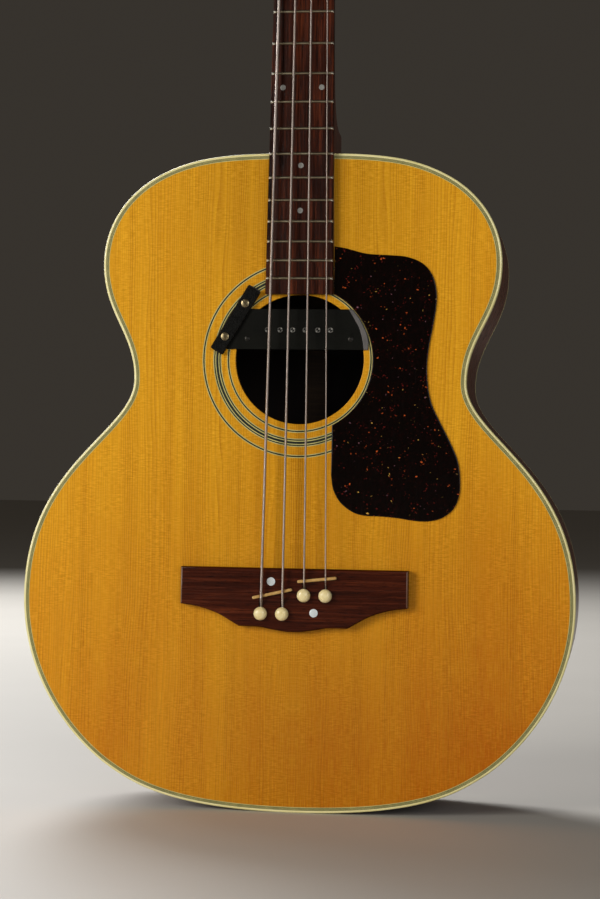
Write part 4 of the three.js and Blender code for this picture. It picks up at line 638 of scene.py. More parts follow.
# Near-black wood for the inside of the back: painted shade inside the body.
SHADED_BACK_INSIDE = wood("back_inside_painted_shade", (10, 5, 3), (17, 9, 6), (24, 14, 9), band=20, streak=3,
                   pores=0.4, gloss=0.6, seed=15.0, specular=0.1)
# Bare spruce and mahogany for braces, linings and blocks, darkened as painted shade inside the
# body.
SHADED_SPRUCE = wood("bare_spruce_painted_shade", (36, 24, 14), (50, 35, 21), (64, 46, 28), along="x", band=9,
                 streak=1.6, pores=0.2, gloss=0.6, seed=11.0, specular=0.2)
BLOCK_WOOD = wood("bare_mahogany_painted_shade", (44, 22, 13), (64, 36, 22), (80, 48, 30), band=14, streak=3,
                  pores=0.5, gloss=0.62, seed=12.0)
PLATE_WOOD = wood("bare_maple", (176, 132, 84), (208, 168, 118), (224, 190, 142), along="x",
                  band=10, streak=2, pores=0.1, gloss=0.55, seed=13.0)
CREAM = plastic("cream_binding", (238, 228, 168), (224, 212, 142), 40.0, 0.32, 0.4, grain=1.5)
BLACK_PLY = plastic("black_ply", (16, 20, 14), (30, 34, 22), 12.0, 0.4, specular=0.25)
WHITE_PLY = plastic("white_ply", (196, 188, 118), (174, 168, 104), 12.0, 0.4, specular=0.3)
SATIN_BLACK = plastic("satin_black", (11, 11, 8), (17, 17, 13), 22.0, 0.3, grain=0.5,
                      specular=0.12)
HARD_BLACK = plastic("hard_black", (6, 6, 5), (10, 10, 8), 16.0, 0.26, specular=0.22)
# Grey for the clamp bar's bevel: a painted glint on black plastic.
BLACK_GLINT = plastic("black_painted_glint", (70, 70, 74), (40, 40, 42), 3.0, 0.25)
# Grey for the pickup's lip: a painted reflection on black plastic.
LIP_REFLECTION = plastic("grey_lip_painted_reflection", (94, 90, 88), (78, 76, 74), 9.0, 0.35)
BONE = plastic("aged_bone", (204, 164, 96), (172, 128, 64), 5.0, 0.38, edge=(232, 208, 150),
               grain=0.4)
PIN_CREAM = plastic("pin_cream", (240, 224, 172), (230, 208, 146), 3.5, 0.3, 0.2, grain=0.6)
PEARL = pearl("pearl_inlay", (168, 180, 190), (224, 230, 228), (196, 206, 212), (232, 224, 220))
# Greyed copy of the pearl for the fingerboard's dots: painted shade.
SHADED_PEARL = pearl("pearl_painted_shade", (84, 84, 80), (150, 148, 142), (112, 112, 108), (172, 166, 158))
NICKEL = metal("aged_nickel", (214, 210, 198), (176, 168, 150), 0.24)
FRET_WIRE = metal("fret_nickel", (168, 158, 134), (124, 112, 90), 0.3, 8.0, brushed=0)
# Near-white nickel on the fret ends: a painted highlight.
FRET_HIGHLIGHT = metal("fret_end", (250, 246, 232), (232, 226, 206), 0.25, 14.0)
BRASSY = metal("screw_nickel", (150, 136, 104), (92, 76, 50), 0.3, 1.6)
DARK_STEEL = metal("dark_steel", (48, 46, 43), (34, 33, 31), 0.36, 2.0)
STEEL = metal("rod_steel", (150, 150, 148), (112, 110, 106), 0.4)
WINDINGS = {name: winding(name, pitch) for name, pitch in zip(STRINGS, (0.9, 0.75, 0.6, 0.45))}

# Braces and blocks inside the body take woods darkened as painted shade; the bridge plate and rod
# keep their own tones.
for node, look in {
    "neck_block": BLOCK_WOOD,
    "tail_block": BLOCK_WOOD,
    "x_brace": SHADED_SPRUCE,
    "transverse_brace": SHADED_SPRUCE,
    "back_bracing": SHADED_SPRUCE,
    "bridge_plate": PLATE_WOOD,
    "truss_rod": STEEL,
}.items():
    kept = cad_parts[node].data
    kept.materials.clear()
    kept.materials.append(look)

# ---------------------------------------------------------------- body
LOWER = (455.8 / 2, 172.6)  # half width and height of the lower bout, the waist and the upper bout
WAIST = (274.7 / 2, 352.2)
UPPER = (329.7 / 2, 448.6)
BACK_SLOPE = 20.0  # that the back comes forward over the body's length
BINDING = 2.05  # width of the bindings on the top and the back
BAND_DEPTH = 6.0  # of the bindings down the sides


def half_outline(counts):
    """Right half of the rim as six curves, each with its number of points."""
    nodes = [  # place, and the line's heading there in degrees
        (0.0, 0.0, 0),
        (LOWER[0] * 0.676, LOWER[1] * 0.192, 33.2),
        (*LOWER, 90),
        (*WAIST, 90),
        (*UPPER, 90),
        (UPPER[0] * 0.737, BODY_LENGTH - (1 - 0.787) * 90.7, 180 - 29.2),
        (0.0, BODY_LENGTH, 180),
    ]
    handles = [  # of each curve at its two ends, as shares of the body's length
        (0.1906, 0.046), (0.0565, 0.1383), (0.204, 0.0814), (0.0717, 0.0786), (0.064, 0.0477),
        (0.0653, 0.1138),
    ]
    points = []
    for (x0, z0, from_way), (x1, z1, to_way), (leave, arrive), count in zip(
            nodes, nodes[1:], handles, counts):
        a, b = radians(from_way), radians(to_way)
        start, end = np.array([x0, z0]), np.array([x1, z1])
        first = start + leave * BODY_LENGTH * np.array([cos(a), sin(a)])
        second = end - arrive * BODY_LENGTH * np.array([cos(b), sin(b)])
        points += bezier([start, first, second, end], count)
    return np.array(points + [np.array([0.0, BODY_LENGTH])])


right_half = half_outline((24, 34, 34, 22, 20, 26))
RIM, RIM_STEP = rim(np.vstack([right_half, (right_half[1:-1] * (-1, 1))[::-1]]))


def back_plane(z):
    return TOP_Y + BODY_DEPTH + BACK_SLOPE - BACK_SLOPE * z / BODY_LENGTH


def ring_loft(section, back=False):
    """A closed strip round the rim from pairs of inset and depth. On the back, depth starts at
    the back's plane."""
    rings = []
    for at, step in zip(RIM, RIM_STEP):
        places = [(*(at + inset * step), depth) for inset, depth in section]
        rings.append([(x, back_plane(z) + depth if back else depth, z) for x, z, depth in places])
    return loft(rings, closes=True)


def binding(face, way, back=False):
    """A binding whose outer corner is rounded, from its flat face inwards."""
    radius = 1.3
    corner = [(radius * (1 - sin(t)), radius * (1 - cos(t))) for t in np.linspace(0, pi / 2, 6)]
    section = [(BINDING, 0), (1.6, 0), *corner, (0, BAND_DEPTH), (BINDING, BAND_DEPTH)]
    return ring_loft([(inset, face + way * depth) for inset, depth in section], back)


hole_rim = round_hole(HOLE_SHIFT, HOLE_CENTRE, HOLE_RADIUS, 96)
top_back = TOP_Y + TOP_THICKNESS
outer_profile = [(BINDING + inset, y) for inset, y in (
    (0.6, TOP_Y), (0, TOP_Y), (0, top_back), (0.6, top_back))]
profiles = [outer_profile, rounded_edge(TOP_Y, top_back, 0.5)]
piece("soundboard_top", plate([(RIM, RIM_STEP), hole_rim], profiles).placed(FLAT), SPRUCE,
      "soundboard", ["soundboard"])
piece("binding_front", binding(TOP_Y, 1), CREAM, "binding", ["binding_top"])
piece("binding_rear", binding(0, -1, back=True), CREAM, "binding", ["binding_back"])


def strips(edges, ring, plies):
    """Thin inlaid lines between neighbouring edges, two plies in turn, just proud of the top."""
    front, back = TOP_Y - 0.03, TOP_Y + 0.4
    parts = [ring([(a, front), (b, front), (b, back), (a, back)]) for a, b in zip(edges, edges[1:])]
    return parts, [plies[i % 2] for i in range(len(parts))]


def rosette_ring(section):
    rings = [[(HOLE_SHIFT + r * cos(t), y, HOLE_CENTRE + r * sin(t)) for r, y in section]
             for t in around(144)]
    return loft(rings, closes=True)


piece("purfling_lines",
      *strips([BINDING, 2.45, 2.85, 3.25, 3.65, 4.1, 4.75], ring_loft, (BLACK_PLY, WHITE_PLY)),
      "purfling", ["purfling_top"])
for name, edges in {
    "rosette_inner": [57.9, 58.45, 59.5, 60.1],
    "rosette_middle": [64.9, 65.55, 66.55, 67.35, 69.2, 69.95, 70.9, 71.6],
    "rosette_outer": [78.25, 78.9, 80.0, 80.65],
}.items():
    piece(name + "_lines", *strips(edges, rosette_ring, (WHITE_PLY, BLACK_PLY)), "rosette", [name])


def side_part(indices):
    rings = []
    for i in indices:
        (x, z), (ix, iz) = (RIM[i] + inset * RIM_STEP[i] for inset in (BURIED, 2.8))
        front = TOP_Y + BAND_DEPTH
        rings.append([(x, front, z), (x, back_plane(z) - BAND_DEPTH, z),
                      (ix, back_plane(iz) - BAND_DEPTH, iz), (ix, front, iz)])
    return loft(rings)


half_count = len(right_half)
for side, indices in {
    "treble": range(half_count),
    "bass": [*range(half_count - 1, len(RIM)), 0],
}.items():
    piece(f"side_{side}_wood", side_part(indices), SIDE_WOOD, "mahogany", [f"side_{side}"])

ARCH_CENTRE = np.array([0.0, LOWER[1] + 0.71 * (WAIST[1] - LOWER[1])])
ARCH_RISE = 5.9
BACK_THICKNESS = 3.0


def back_part():
    """Arched back, as rings that shrink from the rim to the arch's middle, with an inner sheet."""
    edge = RIM + BINDING * RIM_STEP
    rings = []
    shares = [1, 0.985, 0.95, 0.9, 0.84, 0.77, 0.69, 0.6, 0.5, 0.4, 0.3, 0.2, 0.1, 0.0]
    for lift, order in ((0.0, shares[::-1]), (BACK_THICKNESS, shares)):
        for share in order:
            at = ARCH_CENTRE + (edge - ARCH_CENTRE) * share
            rise = ARCH_RISE * (1 - share**2) - lift
            rings.append([(x, back_plane(z) + rise, z) for x, z in at])
    return welded(loft(rings, caps=False))


# The back's inner face takes the near-black painted shade.
piece("back_wood", back_part(), MAHOGANY, "mahogany", ["back"],
      edges=(SHADED_BACK_INSIDE, lambda middle, normal: normal[1] < -0.5))


def kerfed_lining(back):
    """A lining strip sawn across at short steps so that it bends."""
    rings = []
    lengths = np.linalg.norm(np.roll(RIM, -1, 0) - RIM, axis=1)
    run = np.concatenate([[0], np.cumsum(lengths)])
    pitch = run[-1] / round(run[-1] / 9.0)

    def along(values, place):
        return [np.interp(place, run, np.append(values[:, c], values[0, c])) for c in (0, 1)]

    for k in range(round(run[-1] / pitch)):
        for offset, inner in ((0.0, 8.6), (0.82, 8.6), (0.82, 4.6), (1.0, 4.6)):
            place = (k + offset) * pitch
            (x, z), (step_x, step_z) = along(RIM, place), along(RIM_STEP, place)
            section = []
            for inset, depth in ((3.1, 0), (3.1, 16), (4.6, 16), (inner, 11), (inner, 0)):
                px, pz = x + inset * step_x, z + inset * step_z
                y = back_plane(pz) - BACK_THICKNESS - 0.3 - depth if back else top_back + depth
                section.append((px, y, pz))
            rings.append(section)
    return welded(loft(rings, closes=True))


# The linings take spruce darkened as painted shade.
piece("kerfed_lining_front", kerfed_lining(False), SHADED_SPRUCE, "lining_wood", ["lining_top"])
piece("kerfed_lining_rear", kerfed_lining(True), SHADED_SPRUCE, "lining_wood", ["lining_back"])

# ---------------------------------------------------------------- pickguard
GUARD_WIDTH = 107.5
GUARD_BOTTOM = SADDLE_LINE + 49.5
GUARD_TOP = HOLE_CENTRE + 92.5
GUARD_ARC = 60.3  # radius of its edge along the soundhole's rings
GUARD_SHARES = [
    (0.09, 0.993), (0.245, 0.974), (0.44, 0.968), (0.555, 0.962), (0.67, 0.939), (0.747, 0.895),
    (0.78, 0.837), (0.779, 0.782), (0.757, 0.709), (0.73, 0.636), (0.717, 0.563), (0.727, 0.49),
    (0.755, 0.428), (0.819, 0.363), (0.898, 0.29), (0.961, 0.218), (0.98, 0.146), (0.972, 0.092),
    (0.93, 0.045), (0.84, 0.012), (0.733, 0), (0.625, 0.002), (0.512, 0.01), (0.382, 0.015),
    (0.26, 0.017), (0.168, 0.029), (0.074, 0.063), (0.018, 0.11), (0, 0.162),
]


def board_half(z):
    return (42.0 + 14.0 * (NUT_LINE - z) / (NUT_LINE - BOARD_END)) / 2


def guard_outline():
    left, height = board_half(BOARD_END) + 0.3, GUARD_TOP - GUARD_BOTTOM
    edge = [(left + a * GUARD_WIDTH, GUARD_BOTTOM + u * height) for a, u in GUARD_SHARES]
    high = acos((left - HOLE_SHIFT) / GUARD_ARC)
    inner = arc(HOLE_SHIFT, HOLE_CENTRE, GUARD_ARC, np.linspace(-high, high, 40))
    return spline([(left, GUARD_TOP), *edge], 5) + inner


guard = sheet(guard_outline(), rounded_edge(TOP_Y - 1.5, TOP_Y - BURIED, 0.6))
piece("pickguard_sheet", guard, TORTOISE, "tortoise", ["pickguard"])

# ---------------------------------------------------------------- strings' layout
DIAMETERS = {"e": 2.35, "a": 1.98, "d": 1.62, "g": 1.14}
SPREAD = (-0.5, -1 / 6, 1 / 6, 0.5)  # places of the strings as shares of a distance
PIN_SPREAD, SADDLE_SPREAD, NUT_SPREAD = 53.0, 52.4, 31.2  # between the outer strings
PINS = [(share * PIN_SPREAD, SADDLE_LINE - (27.7 if share < 0 else 12.3)) for share in SPREAD]
SADDLES = {
    "bass": {"x": -17.1, "z": SADDLE_LINE - 11.4, "length": 33.5, "lean": 12.8},
    "treble": {"x": 19.5, "z": SADDLE_LINE + 0.6, "length": 32.4, "lean": 6.4},
}
SADDLE_HALF = 1.25  # of the thickness
SADDLE_RISE = 12.5  # of the saddles over the top, where a string lies
PIN_HOLE = 3.5  # radius
CLEARANCE = 0.3  # round a string where it passes or lies on something
WRAP_TOP = 14.2
WRAP_GAP = 0.7
WRAP_TURNS = 2
WRAP_BEND = 2.0
POST_RADIUS = 4.7
POSTS = {"e": (-27.0, 58.0), "a": (-27.0, 134.0), "d": (27.0, 134.0), "g": (27.0, 58.0)}


def nut_place(index):
    """Place of a string's middle where it crosses the nut."""
    radius = DIAMETERS[STRINGS[index]] / 2
    return SPREAD[index] * NUT_SPREAD, BOARD_Y - FRET_RISE - 0.5 - radius


def string_run(index):
    """From the tail inside the body, up through the pin's hole and over saddle and nut."""
    radius = DIAMETERS[STRINGS[index]] / 2
    pin_x, pin_z = PINS[index]
    saddle = SADDLES["bass" if pin_x < 0 else "treble"]
    saddle_x, (nut_x, nut_y) = SPREAD[index] * SADDLE_SPREAD + 0.6, nut_place(index)
    crown_z = saddle["z"] + (saddle_x - saddle["x"]) * tan(radians(saddle["lean"]))
    crown_y = TOP_Y - SADDLE_RISE - radius - CLEARANCE
    hole_z = pin_z + PIN_HOLE - radius - CLEARANCE
    leaves = pin_z + 5.5
    sunk = radius + 0.35
    ramp_x = [pin_x + share * (saddle_x - pin_x) for share in (0.2, 0.4)]
    return [
        (pin_x, top_back + 6.5, hole_z),
        (pin_x, top_back, hole_z),
        (pin_x, BRIDGE_FRONT + sunk + radius + CLEARANCE, hole_z),
        (ramp_x[0], BRIDGE_FRONT + sunk, (hole_z + leaves) / 2),
        (ramp_x[1], BRIDGE_FRONT + sunk / 2, leaves),
        (saddle_x, crown_y, crown_z - SADDLE_HALF),
        (saddle_x, crown_y, crown_z + SADDLE_HALF),
        (nut_x, nut_y, NUT_LINE),
        (nut_x, nut_y, HEAD_BASE),
    ]


def string_wraps(index, steps_per_turn=48, bend_steps=8):
    """In the headstock's frame: up to the post, round it, and into its slot."""
    name = STRINGS[index]
    radius = DIAMETERS[name] / 2
    rise = WRAP_TURNS * (DIAMETERS[name] + WRAP_GAP)
    cx, cy = POSTS[name]
    way = 1 if cx < 0 else -1
    start = np.linalg.inv(HEAD) @ np.array([*string_run(index)[-1], 1.0])
    reach = POST_RADIUS + CLEARANCE + radius
    to_post = np.array([cx - start[0], cy - start[1]])
    heading = atan2(to_post[1], to_post[0]) - way * asin(reach / np.linalg.norm(to_post))
    first = heading - way * pi / 2
    count = WRAP_TURNS * steps_per_turn

    def at(distance, angle, height):
        return np.array([cx + distance * cos(angle), cy + distance * sin(angle), height])

    points = [
        at(reach, first + way * 2 * pi * i / steps_per_turn, WRAP_TOP - rise * (1 - i / count))
        for i in range(count + 1)
    ]
    swing = asin(WRAP_BEND / (reach - WRAP_BEND))
    leave = first + way * 2 * pi * WRAP_TURNS
    bend_centre = at(reach - WRAP_BEND, leave, WRAP_TOP)
    for i in range(1, bend_steps + 1):
        angle = leave + way * (pi / 2 + swing) * i / bend_steps
        points.append(bend_centre + WRAP_BEND * np.array([cos(angle), sin(angle), 0]))
    points.append(at(0, 0, WRAP_TOP))
    return points, points[-bend_steps - 7:], leave + way * swing


for index, name in enumerate(STRINGS):
    wraps = [(HEAD @ np.array([*p, 1.0]))[:3] for p in string_wraps(index)[0]]
    form = tube(softened(string_run(index), 1.6) + wraps, DIAMETERS[name] / 2 - BURIED, 14)
    piece(f"string_{name}_wound", form, WINDINGS[name], "wound_string", [f"string_{name}"],
          angle=60)

# ---------------------------------------------------------------- bridge
BRIDGE_HALF = 186.8 / 2
BRIDGE_DEPTH = 51.6
BRIDGE_EDGE = SADDLE_LINE + 9.3
BRIDGE_WING = [(1, 0.59), (0.878, 0.62), (0.77, 0.668), (0.66, 0.74), (0.56, 0.84), (0.478, 0.925)]
BRIDGE_SWELL = [(0.478, 0.925), (0.39, 0.925), (0.29, 0.932), (0.19, 0.965), (0.065, 0.998), (0, 1)]


def bridge_outline():
    """Straight upper edge and ends, then an ogee to a corner and a swell to the middle."""
    def at(across, down):
        return across * BRIDGE_HALF, BRIDGE_EDGE - down * BRIDGE_DEPTH

    swell = [at(*p) for p in BRIDGE_SWELL]
    right = spline([at(*p) for p in BRIDGE_WING], 6)[:-1]
    centre = spline(swell + mirrored(swell[:-1]), 6)
    top = [at(-1, 0), at(-0.5, 0), at(0.5, 0), at(1, 0)]
    return right + centre + mirrored(right) + top


def ramp_tool(index):
    """Slope that lets a string out of its hole towards the saddle."""
    x, z = PINS[index]
    half = DIAMETERS[STRINGS[index]] / 2 + 0.5
    side = [(0, -2), (0, 5), (PIN_HOLE, 5), (10, 0), (10, -2)]
    return loft([[(x + s * half, BRIDGE_FRONT + d, z + a) for a, d in side] for s in (-1, 1)])


def bridge_end(middle, normal):
    """The sloped edges at both ends of the bridge, which get a painted highlight."""
    return abs(middle[0]) > BRIDGE_HALF - 2 and abs(normal[0]) > 0.3 and normal[1] < -0.3


countersink = [(0, -8), (PIN_HOLE, -8), (PIN_HOLE, -0.9), (PIN_HOLE + 1.2, 0.3),
               (PIN_HOLE + 1.2, 2), (0, 2)]
bridge_edge = [(inset, BRIDGE_FRONT + depth) for inset, depth in (
    (1.35, 0), (1.2, 0), (0.9, 0.12), (0.12, 0.9), (0, 1.3))]
bridge_edge += [(0, TOP_Y - BURIED), (0.5, TOP_Y - BURIED)]
tools = [ramp_tool(i) for i in range(4)] + [faced(lathe(countersink, 32), *pin) for pin in PINS]
piece("bridge_wood", carved(sheet(bridge_outline(), bridge_edge), *tools), BRIDGE_WOOD,
      "rosewood", ["bridge"], edges=(BRIDGE_END_HIGHLIGHT, bridge_end))

for side, saddle in SADDLES.items():
    half = saddle["length"] / 2 - SADDLE_HALF
    ends = np.linspace(-pi / 2, pi / 2, 7)
    bar = arc(half, 0, SADDLE_HALF, ends) + arc(-half, 0, -SADDLE_HALF, ends)
    c, s = cos(radians(saddle["lean"])), sin(radians(saddle["lean"]))
    lean = frame_matrix((c, 0, s), (-s, 0, c), (0, 1, 0), (saddle["x"], 0, saddle["z"]))
    edge = rounded_edge(TOP_Y - SADDLE_RISE - 0.25, TOP_Y - 3.2, 1.0, 0.2, 5, 0.1)
    piece(f"saddle_{side}_bone", sheet(bar, edge, lean), BONE, "bone", [f"saddle_{side}"])

PIN_PROFILE = [
    (0, 6.3), (1.2, 6.26), (2.4, 6.1), (3.4, 5.78), (4.3, 5.2), (5.0, 4.35), (5.4, 3.35),
    (5.5, 2.5), (5.42, 1.75), (5.1, 1.1), (4.6, 0.62), (4.0, 0.4), (3.6, 0.3), (3.2, 0.1),
    (3.15, -2), (2.5, -25.4), (2.2, -26), (0, -26),
]
for name, (x, z) in zip(STRINGS, PINS):
    corners = [(x - 1.6, z + 1.6), (x + 1.6, z + 1.6), (x + 1.6, z + 6), (x - 1.6, z + 6)]
    groove = loft([[(cx, BRIDGE_FRONT + y, cz) for cx, cz in corners] for y in (0.2, 27)])
    pin = carved(faced(lathe(PIN_PROFILE), x, z), groove)
    piece(f"bridge_pin_{name}_turned", pin, PIN_CREAM, "pin", [f"bridge_pin_{name}"],
          angle=40)

for side, x, z in (("bass", -18.5, SADDLE_LINE - 1.6), ("treble", 16.9, SADDLE_LINE - 26.5)):
    dot = lathe([(0, 0.05), (3.3, 0.05), (3.5, -0.05), (3.5, -1.2), (0, -1.2)], 40)
    piece(f"bridge_dot_{side}_pearl", faced(dot, x, z), PEARL, "pearl", [f"bridge_dot_{side}"])

# ---------------------------------------------------------------- fingerboard, frets, nut
SCALE_LENGTH = NUT_LINE - SADDLE_LINE
CAMBER = 1.0 / 28.0**2  # drop of the surface at the square of its distance from the middle
FRET_HALF = 1.15  # of the width
FRET_SHINE = 1.9  # length of a fret's end, which gets a painted highlight
NUT_HALF = 20.9


def board_y(x):
    return BOARD_Y + CAMBER * x * x


def fret_line(fret):
    return NUT_LINE - SCALE_LENGTH * (1 - 2 ** (-fret / 12))


def board_section(z, inset=0.0):
    half = board_half(z) - inset
    low, shoulder = TOP_Y - BURIED, board_y(half) + inset + 0.4
    top = [(x, board_y(x) + inset, z) for x in np.linspace(-half + 0.5, half - 0.5, 13)]
    return [(-half, low, z), (-half, shoulder, z), *top, (half, shoulder, z), (half, low, z)]


sections = [board_section(BOARD_END, 0.35), board_section(BOARD_END + 0.35)]
sections += [board_section(z) for z in (*np.linspace(450, 960, 8), NUT_LINE)]
piece("fingerboard_wood", loft(sections), BOARD_WOOD, "fingerboard", ["fingerboard"])


def fret_part(z):
    half = board_half(z) - 0.1
    left = [(-half, 0.25), (-half + 0.35, 0.62), (-half + 0.85, 1), (-half + FRET_SHINE, 1),
            (-half / 2, 1)]
    sections = []
    for x, share in [*left, (0, 1), *mirrored(left)]:
        crown = [(x, board_y(x) - FRET_RISE * share * sin(t), z - FRET_HALF * cos(t))
                 for t in np.linspace(0, pi, 11)]
        low = board_y(x) + 0.5
        sections.append([(x, low, z - FRET_HALF), *crown, (x, low, z + FRET_HALF)])
    return loft(sections)


# Faces near a fret's ends, which get the painted highlight.
def fret_end(middle, normal):
    return abs(middle[0]) > board_half(middle[2]) - FRET_SHINE - 0.1


piece("frets_nickel", [fret_part(fret_line(n)) for n in range(1, 21)], FRET_WIRE, "fingerboard",
      edges=(FRET_HIGHLIGHT, fret_end))

MARKERS = [(0, 3), (0, 5), (0, 7), (0, 9), (-16, 12), (16, 12), (0, 15), (0, 17)]
marker_parts = []
for x, fret in MARKERS:
    disc = lathe([(0, 0.05), (2.2, 0.05), (2.3, -0.02), (2.3, -1), (0, -1)], 32)
    slope = atan(2 * CAMBER * x)
    across, out = (cos(slope), sin(slope), 0), (sin(slope), -cos(slope), 0)
    place = (x, board_y(x), (fret_line(fret) + fret_line(fret - 1)) / 2)
    marker_parts.append(disc.placed(frame_matrix(across, (0, 0, 1), out, place)))
# The dots take the pearl greyed as painted shade.
piece("fingerboard_dots", marker_parts, SHADED_PEARL, "pearl")


def nut_outline():
    """Seen along the neck: a block with a rounded top and a notch for each string."""
    front = BOARD_Y - FRET_RISE - 0.56 - DIAMETERS["e"] / 2
    corner = [(NUT_HALF, front + 1.2), (NUT_HALF - 0.4, front + 0.4), (NUT_HALF - 1.3, front)]
    points = [(-NUT_HALF, TOP_Y - BURIED), (NUT_HALF, TOP_Y - BURIED), *corner]
    for index in (3, 2, 1, 0):
        radius = DIAMETERS[STRINGS[index]] / 2 + 0.1
        x, y = nut_place(index)
        notch = arc(x, y, radius, np.linspace(0, pi, 9))
        points += [(x + radius, front), *notch, (x - radius, front)]
    return points + mirrored(corner)


nut_profile = [(0.2, HEAD_BASE), (0, HEAD_BASE - 0.2), (0, NUT_LINE + 0.15),
               (0.12, NUT_LINE + BURIED)]
piece("nut_bone", plate([rim(nut_outline())], [nut_profile]), BONE, "bone", ["nut"])

# ---------------------------------------------------------------- neck and headstock
CAP_THICKNESS = 2.5
HEEL_START = BODY_LENGTH + 0.3
HEEL_DEPTH = BODY_DEPTH - CAP_THICKNESS - BURIED
HEEL_FOOT = 22.0
HEEL_SWEEP = 70.0
SWEEP_END = HEEL_START + HEEL_FOOT + HEEL_SWEEP
SHAFT_DEPTHS = 18.0, 15.5  # at the heel and at the nut
SQUARED = 34.0  # length over which the shaft squares up below the headstock

# Right halves of the neck's sections, as shares of its half width and its depth
SHAFT = [(1, 0), (0.97, 0.26), (0.87, 0.52), (0.68, 0.76), (0.4, 0.94), (0.14, 1)]
HEEL = [(1, 0), (0.99, 0.2), (0.96, 0.42), (0.89, 0.66), (0.68, 0.9), (0.42, 1)]
BLOCKY = [(1, 0), (1, 0.3), (1, 0.6), (0.97, 0.84), (0.86, 0.97), (0.7, 1)]


def neck_section(z):
    """One ring of the neck, which goes from the heel's section to the shaft's and squares up."""
    share = min(max((z - HEEL_START - HEEL_FOOT) / HEEL_SWEEP, 0), 1)
    heel = 1 - sqrt(1 - (1 - share) ** 2)
    along = (max(z, SWEEP_END) - SWEEP_END) / (HEAD_BASE - SWEEP_END)
    depth = SHAFT_DEPTHS[0] + (SHAFT_DEPTHS[1] - SHAFT_DEPTHS[0]) * along
    depth += (HEEL_DEPTH - depth) * heel
    square = min(max((z - HEAD_BASE + SQUARED) / SQUARED, 0), 1) ** 2
    half = board_half(min(z, NUT_LINE)) + BURIED
    right = []
    for shaft, foot, blocky in zip(*(np.array(rows) for rows in (SHAFT, HEEL, BLOCKY))):
        at = shaft + (foot - shaft) * sqrt(heel)
        at += (blocky - at) * square
        right.append((half * at[0], TOP_Y + depth * at[1]))
    right = spline(right, 5)
    return [(x, y, z) for x, y in [*right, *mirrored(right)]]


neck_stations = [
    HEEL_START, HEEL_START + HEEL_FOOT / 2,
    *(HEEL_START + HEEL_FOOT + HEEL_SWEEP * s**2 for s in np.linspace(0, 1, 22)),
    *np.linspace(SWEEP_END + 20, HEAD_BASE - 36, 9), *np.linspace(HEAD_BASE - 30, HEAD_BASE, 7),
]
shaft_part = loft([neck_section(z) for z in neck_stations])


def head_outline():
    """Throat, shoulders and a crowned top with rounded corners, half of it mirrored."""
    throat, shoulder, top = 21.4, 38.0, 43.0
    flare, corner, crown = 34.0, 196.0, 204.0
    right = bezier([(throat, 0), (23.1, flare / 3), (shoulder, flare / 3), (shoulder, flare)], 16)
    right += [(shoulder, flare), (40.5, 108.0)]
    right += bezier([(top, corner - 14), (top, corner), (top - 14, corner)], 10)
    right += bezier([(top - 14, corner), (top / 3, crown), (0, crown)], 12)
    return [*right, (0.0, crown), *mirrored(right)]


def volute_part():
    """Swelling behind the nut that carries the shaft's back into the headstock's."""
    sections = []
    for share in np.linspace(0, 1, 12):
        y, half = -6 + 44 * share, 20.5 - 7 * share
        bulge = 2.6 * sin(pi * min(share * 1.25 + 0.12, 1.0)) ** 1.2 * (1 - share) ** 0.5
        depth = -HEAD_THICKNESS - bulge
        sections.append([(half * cos(t), y, -8 + (depth + 8) * sin(t) ** 0.7)
                         for t in np.linspace(0, pi, 17)])
    return loft(sections)


head = sheet(head_outline(), rounded_edge(0.0, -HEAD_THICKNESS, 0.3, 1.6), HEAD)
piece("neck_wood", [shaft_part, head, volute_part().placed(HEAD)], NECK_WOOD, "mahogany",
      ["neck"], angle=38)
veneer = sheet(head_outline(), rounded_edge(VENEER_FRONT, BURIED, 0.5, 0.05), HEAD)
piece("head_veneer_sheet", veneer, VENEER_WOOD, "veneer", ["headstock_veneer"])

cap_half = HEEL[-1][0] * board_half(HEEL_START) + 0.4
cap_box = rounded_box(cap_half, HEEL_START, HEEL_START + HEEL_FOOT, 2.5)
cap_edge = rounded_edge(TOP_Y + BODY_DEPTH, TOP_Y + BODY_DEPTH - CAP_THICKNESS, 0.6, 0.05)
piece("heel_cap_wood", sheet(cap_box, cap_edge), CAP_WOOD, "rosewood", ["heel_cap"])

# ---------------------------------------------------------------- truss rod cover
def screw_head(radius, height, slot, deep, cross=False, dome=0.65):
    """A domed head with a slot or a cross, its underside at zero."""
    curve = [(radius * sin(t), height * (1 - dome + dome * cos(t)))
             for t in np.linspace(0.15, pi / 2, 7)]
    reach = radius * (0.6 if cross else 1.2)
    low, high = height - deep, height + 1
    bars = [box_part((-reach, -slot / 2, low), (reach, slot / 2, high))]
    if cross:
        bars.append(box_part((-slot / 2, -reach, low), (slot / 2, reach, high)))
    return carved(lathe([(0, height), *curve, (radius, 0), (0, 0)], 28), *bars)


def cover_outline():
    low, middle, high = 5.0, 28.0, 51.0
    right = bezier([(13, low), (13, middle), (6.5, high), (0, high)], 18)
    right = [(13, low + 0.01), *right[1:]]
    return [*right, (0, high), *mirrored(right)]


cover = sheet(cover_outline(), rounded_edge(4.6, VENEER_FRONT + 0.05, 0.6, 0.05), HEAD)
piece("truss_cover_plate", cover, HARD_BLACK, "black_plastic", ["truss_rod_cover"])
screw = screw_head(1.7, 0.9, 0.45, 0.5, cross=True)
piece("truss_cover_screws", [turned_by(screw, angle).placed(shift(x, y, 4.55)).placed(HEAD)
                             for x, y, angle in ((-9.5, 9, 12), (9.5, 9, 50), (0, 44, 30))],
      NICKEL, "screw")

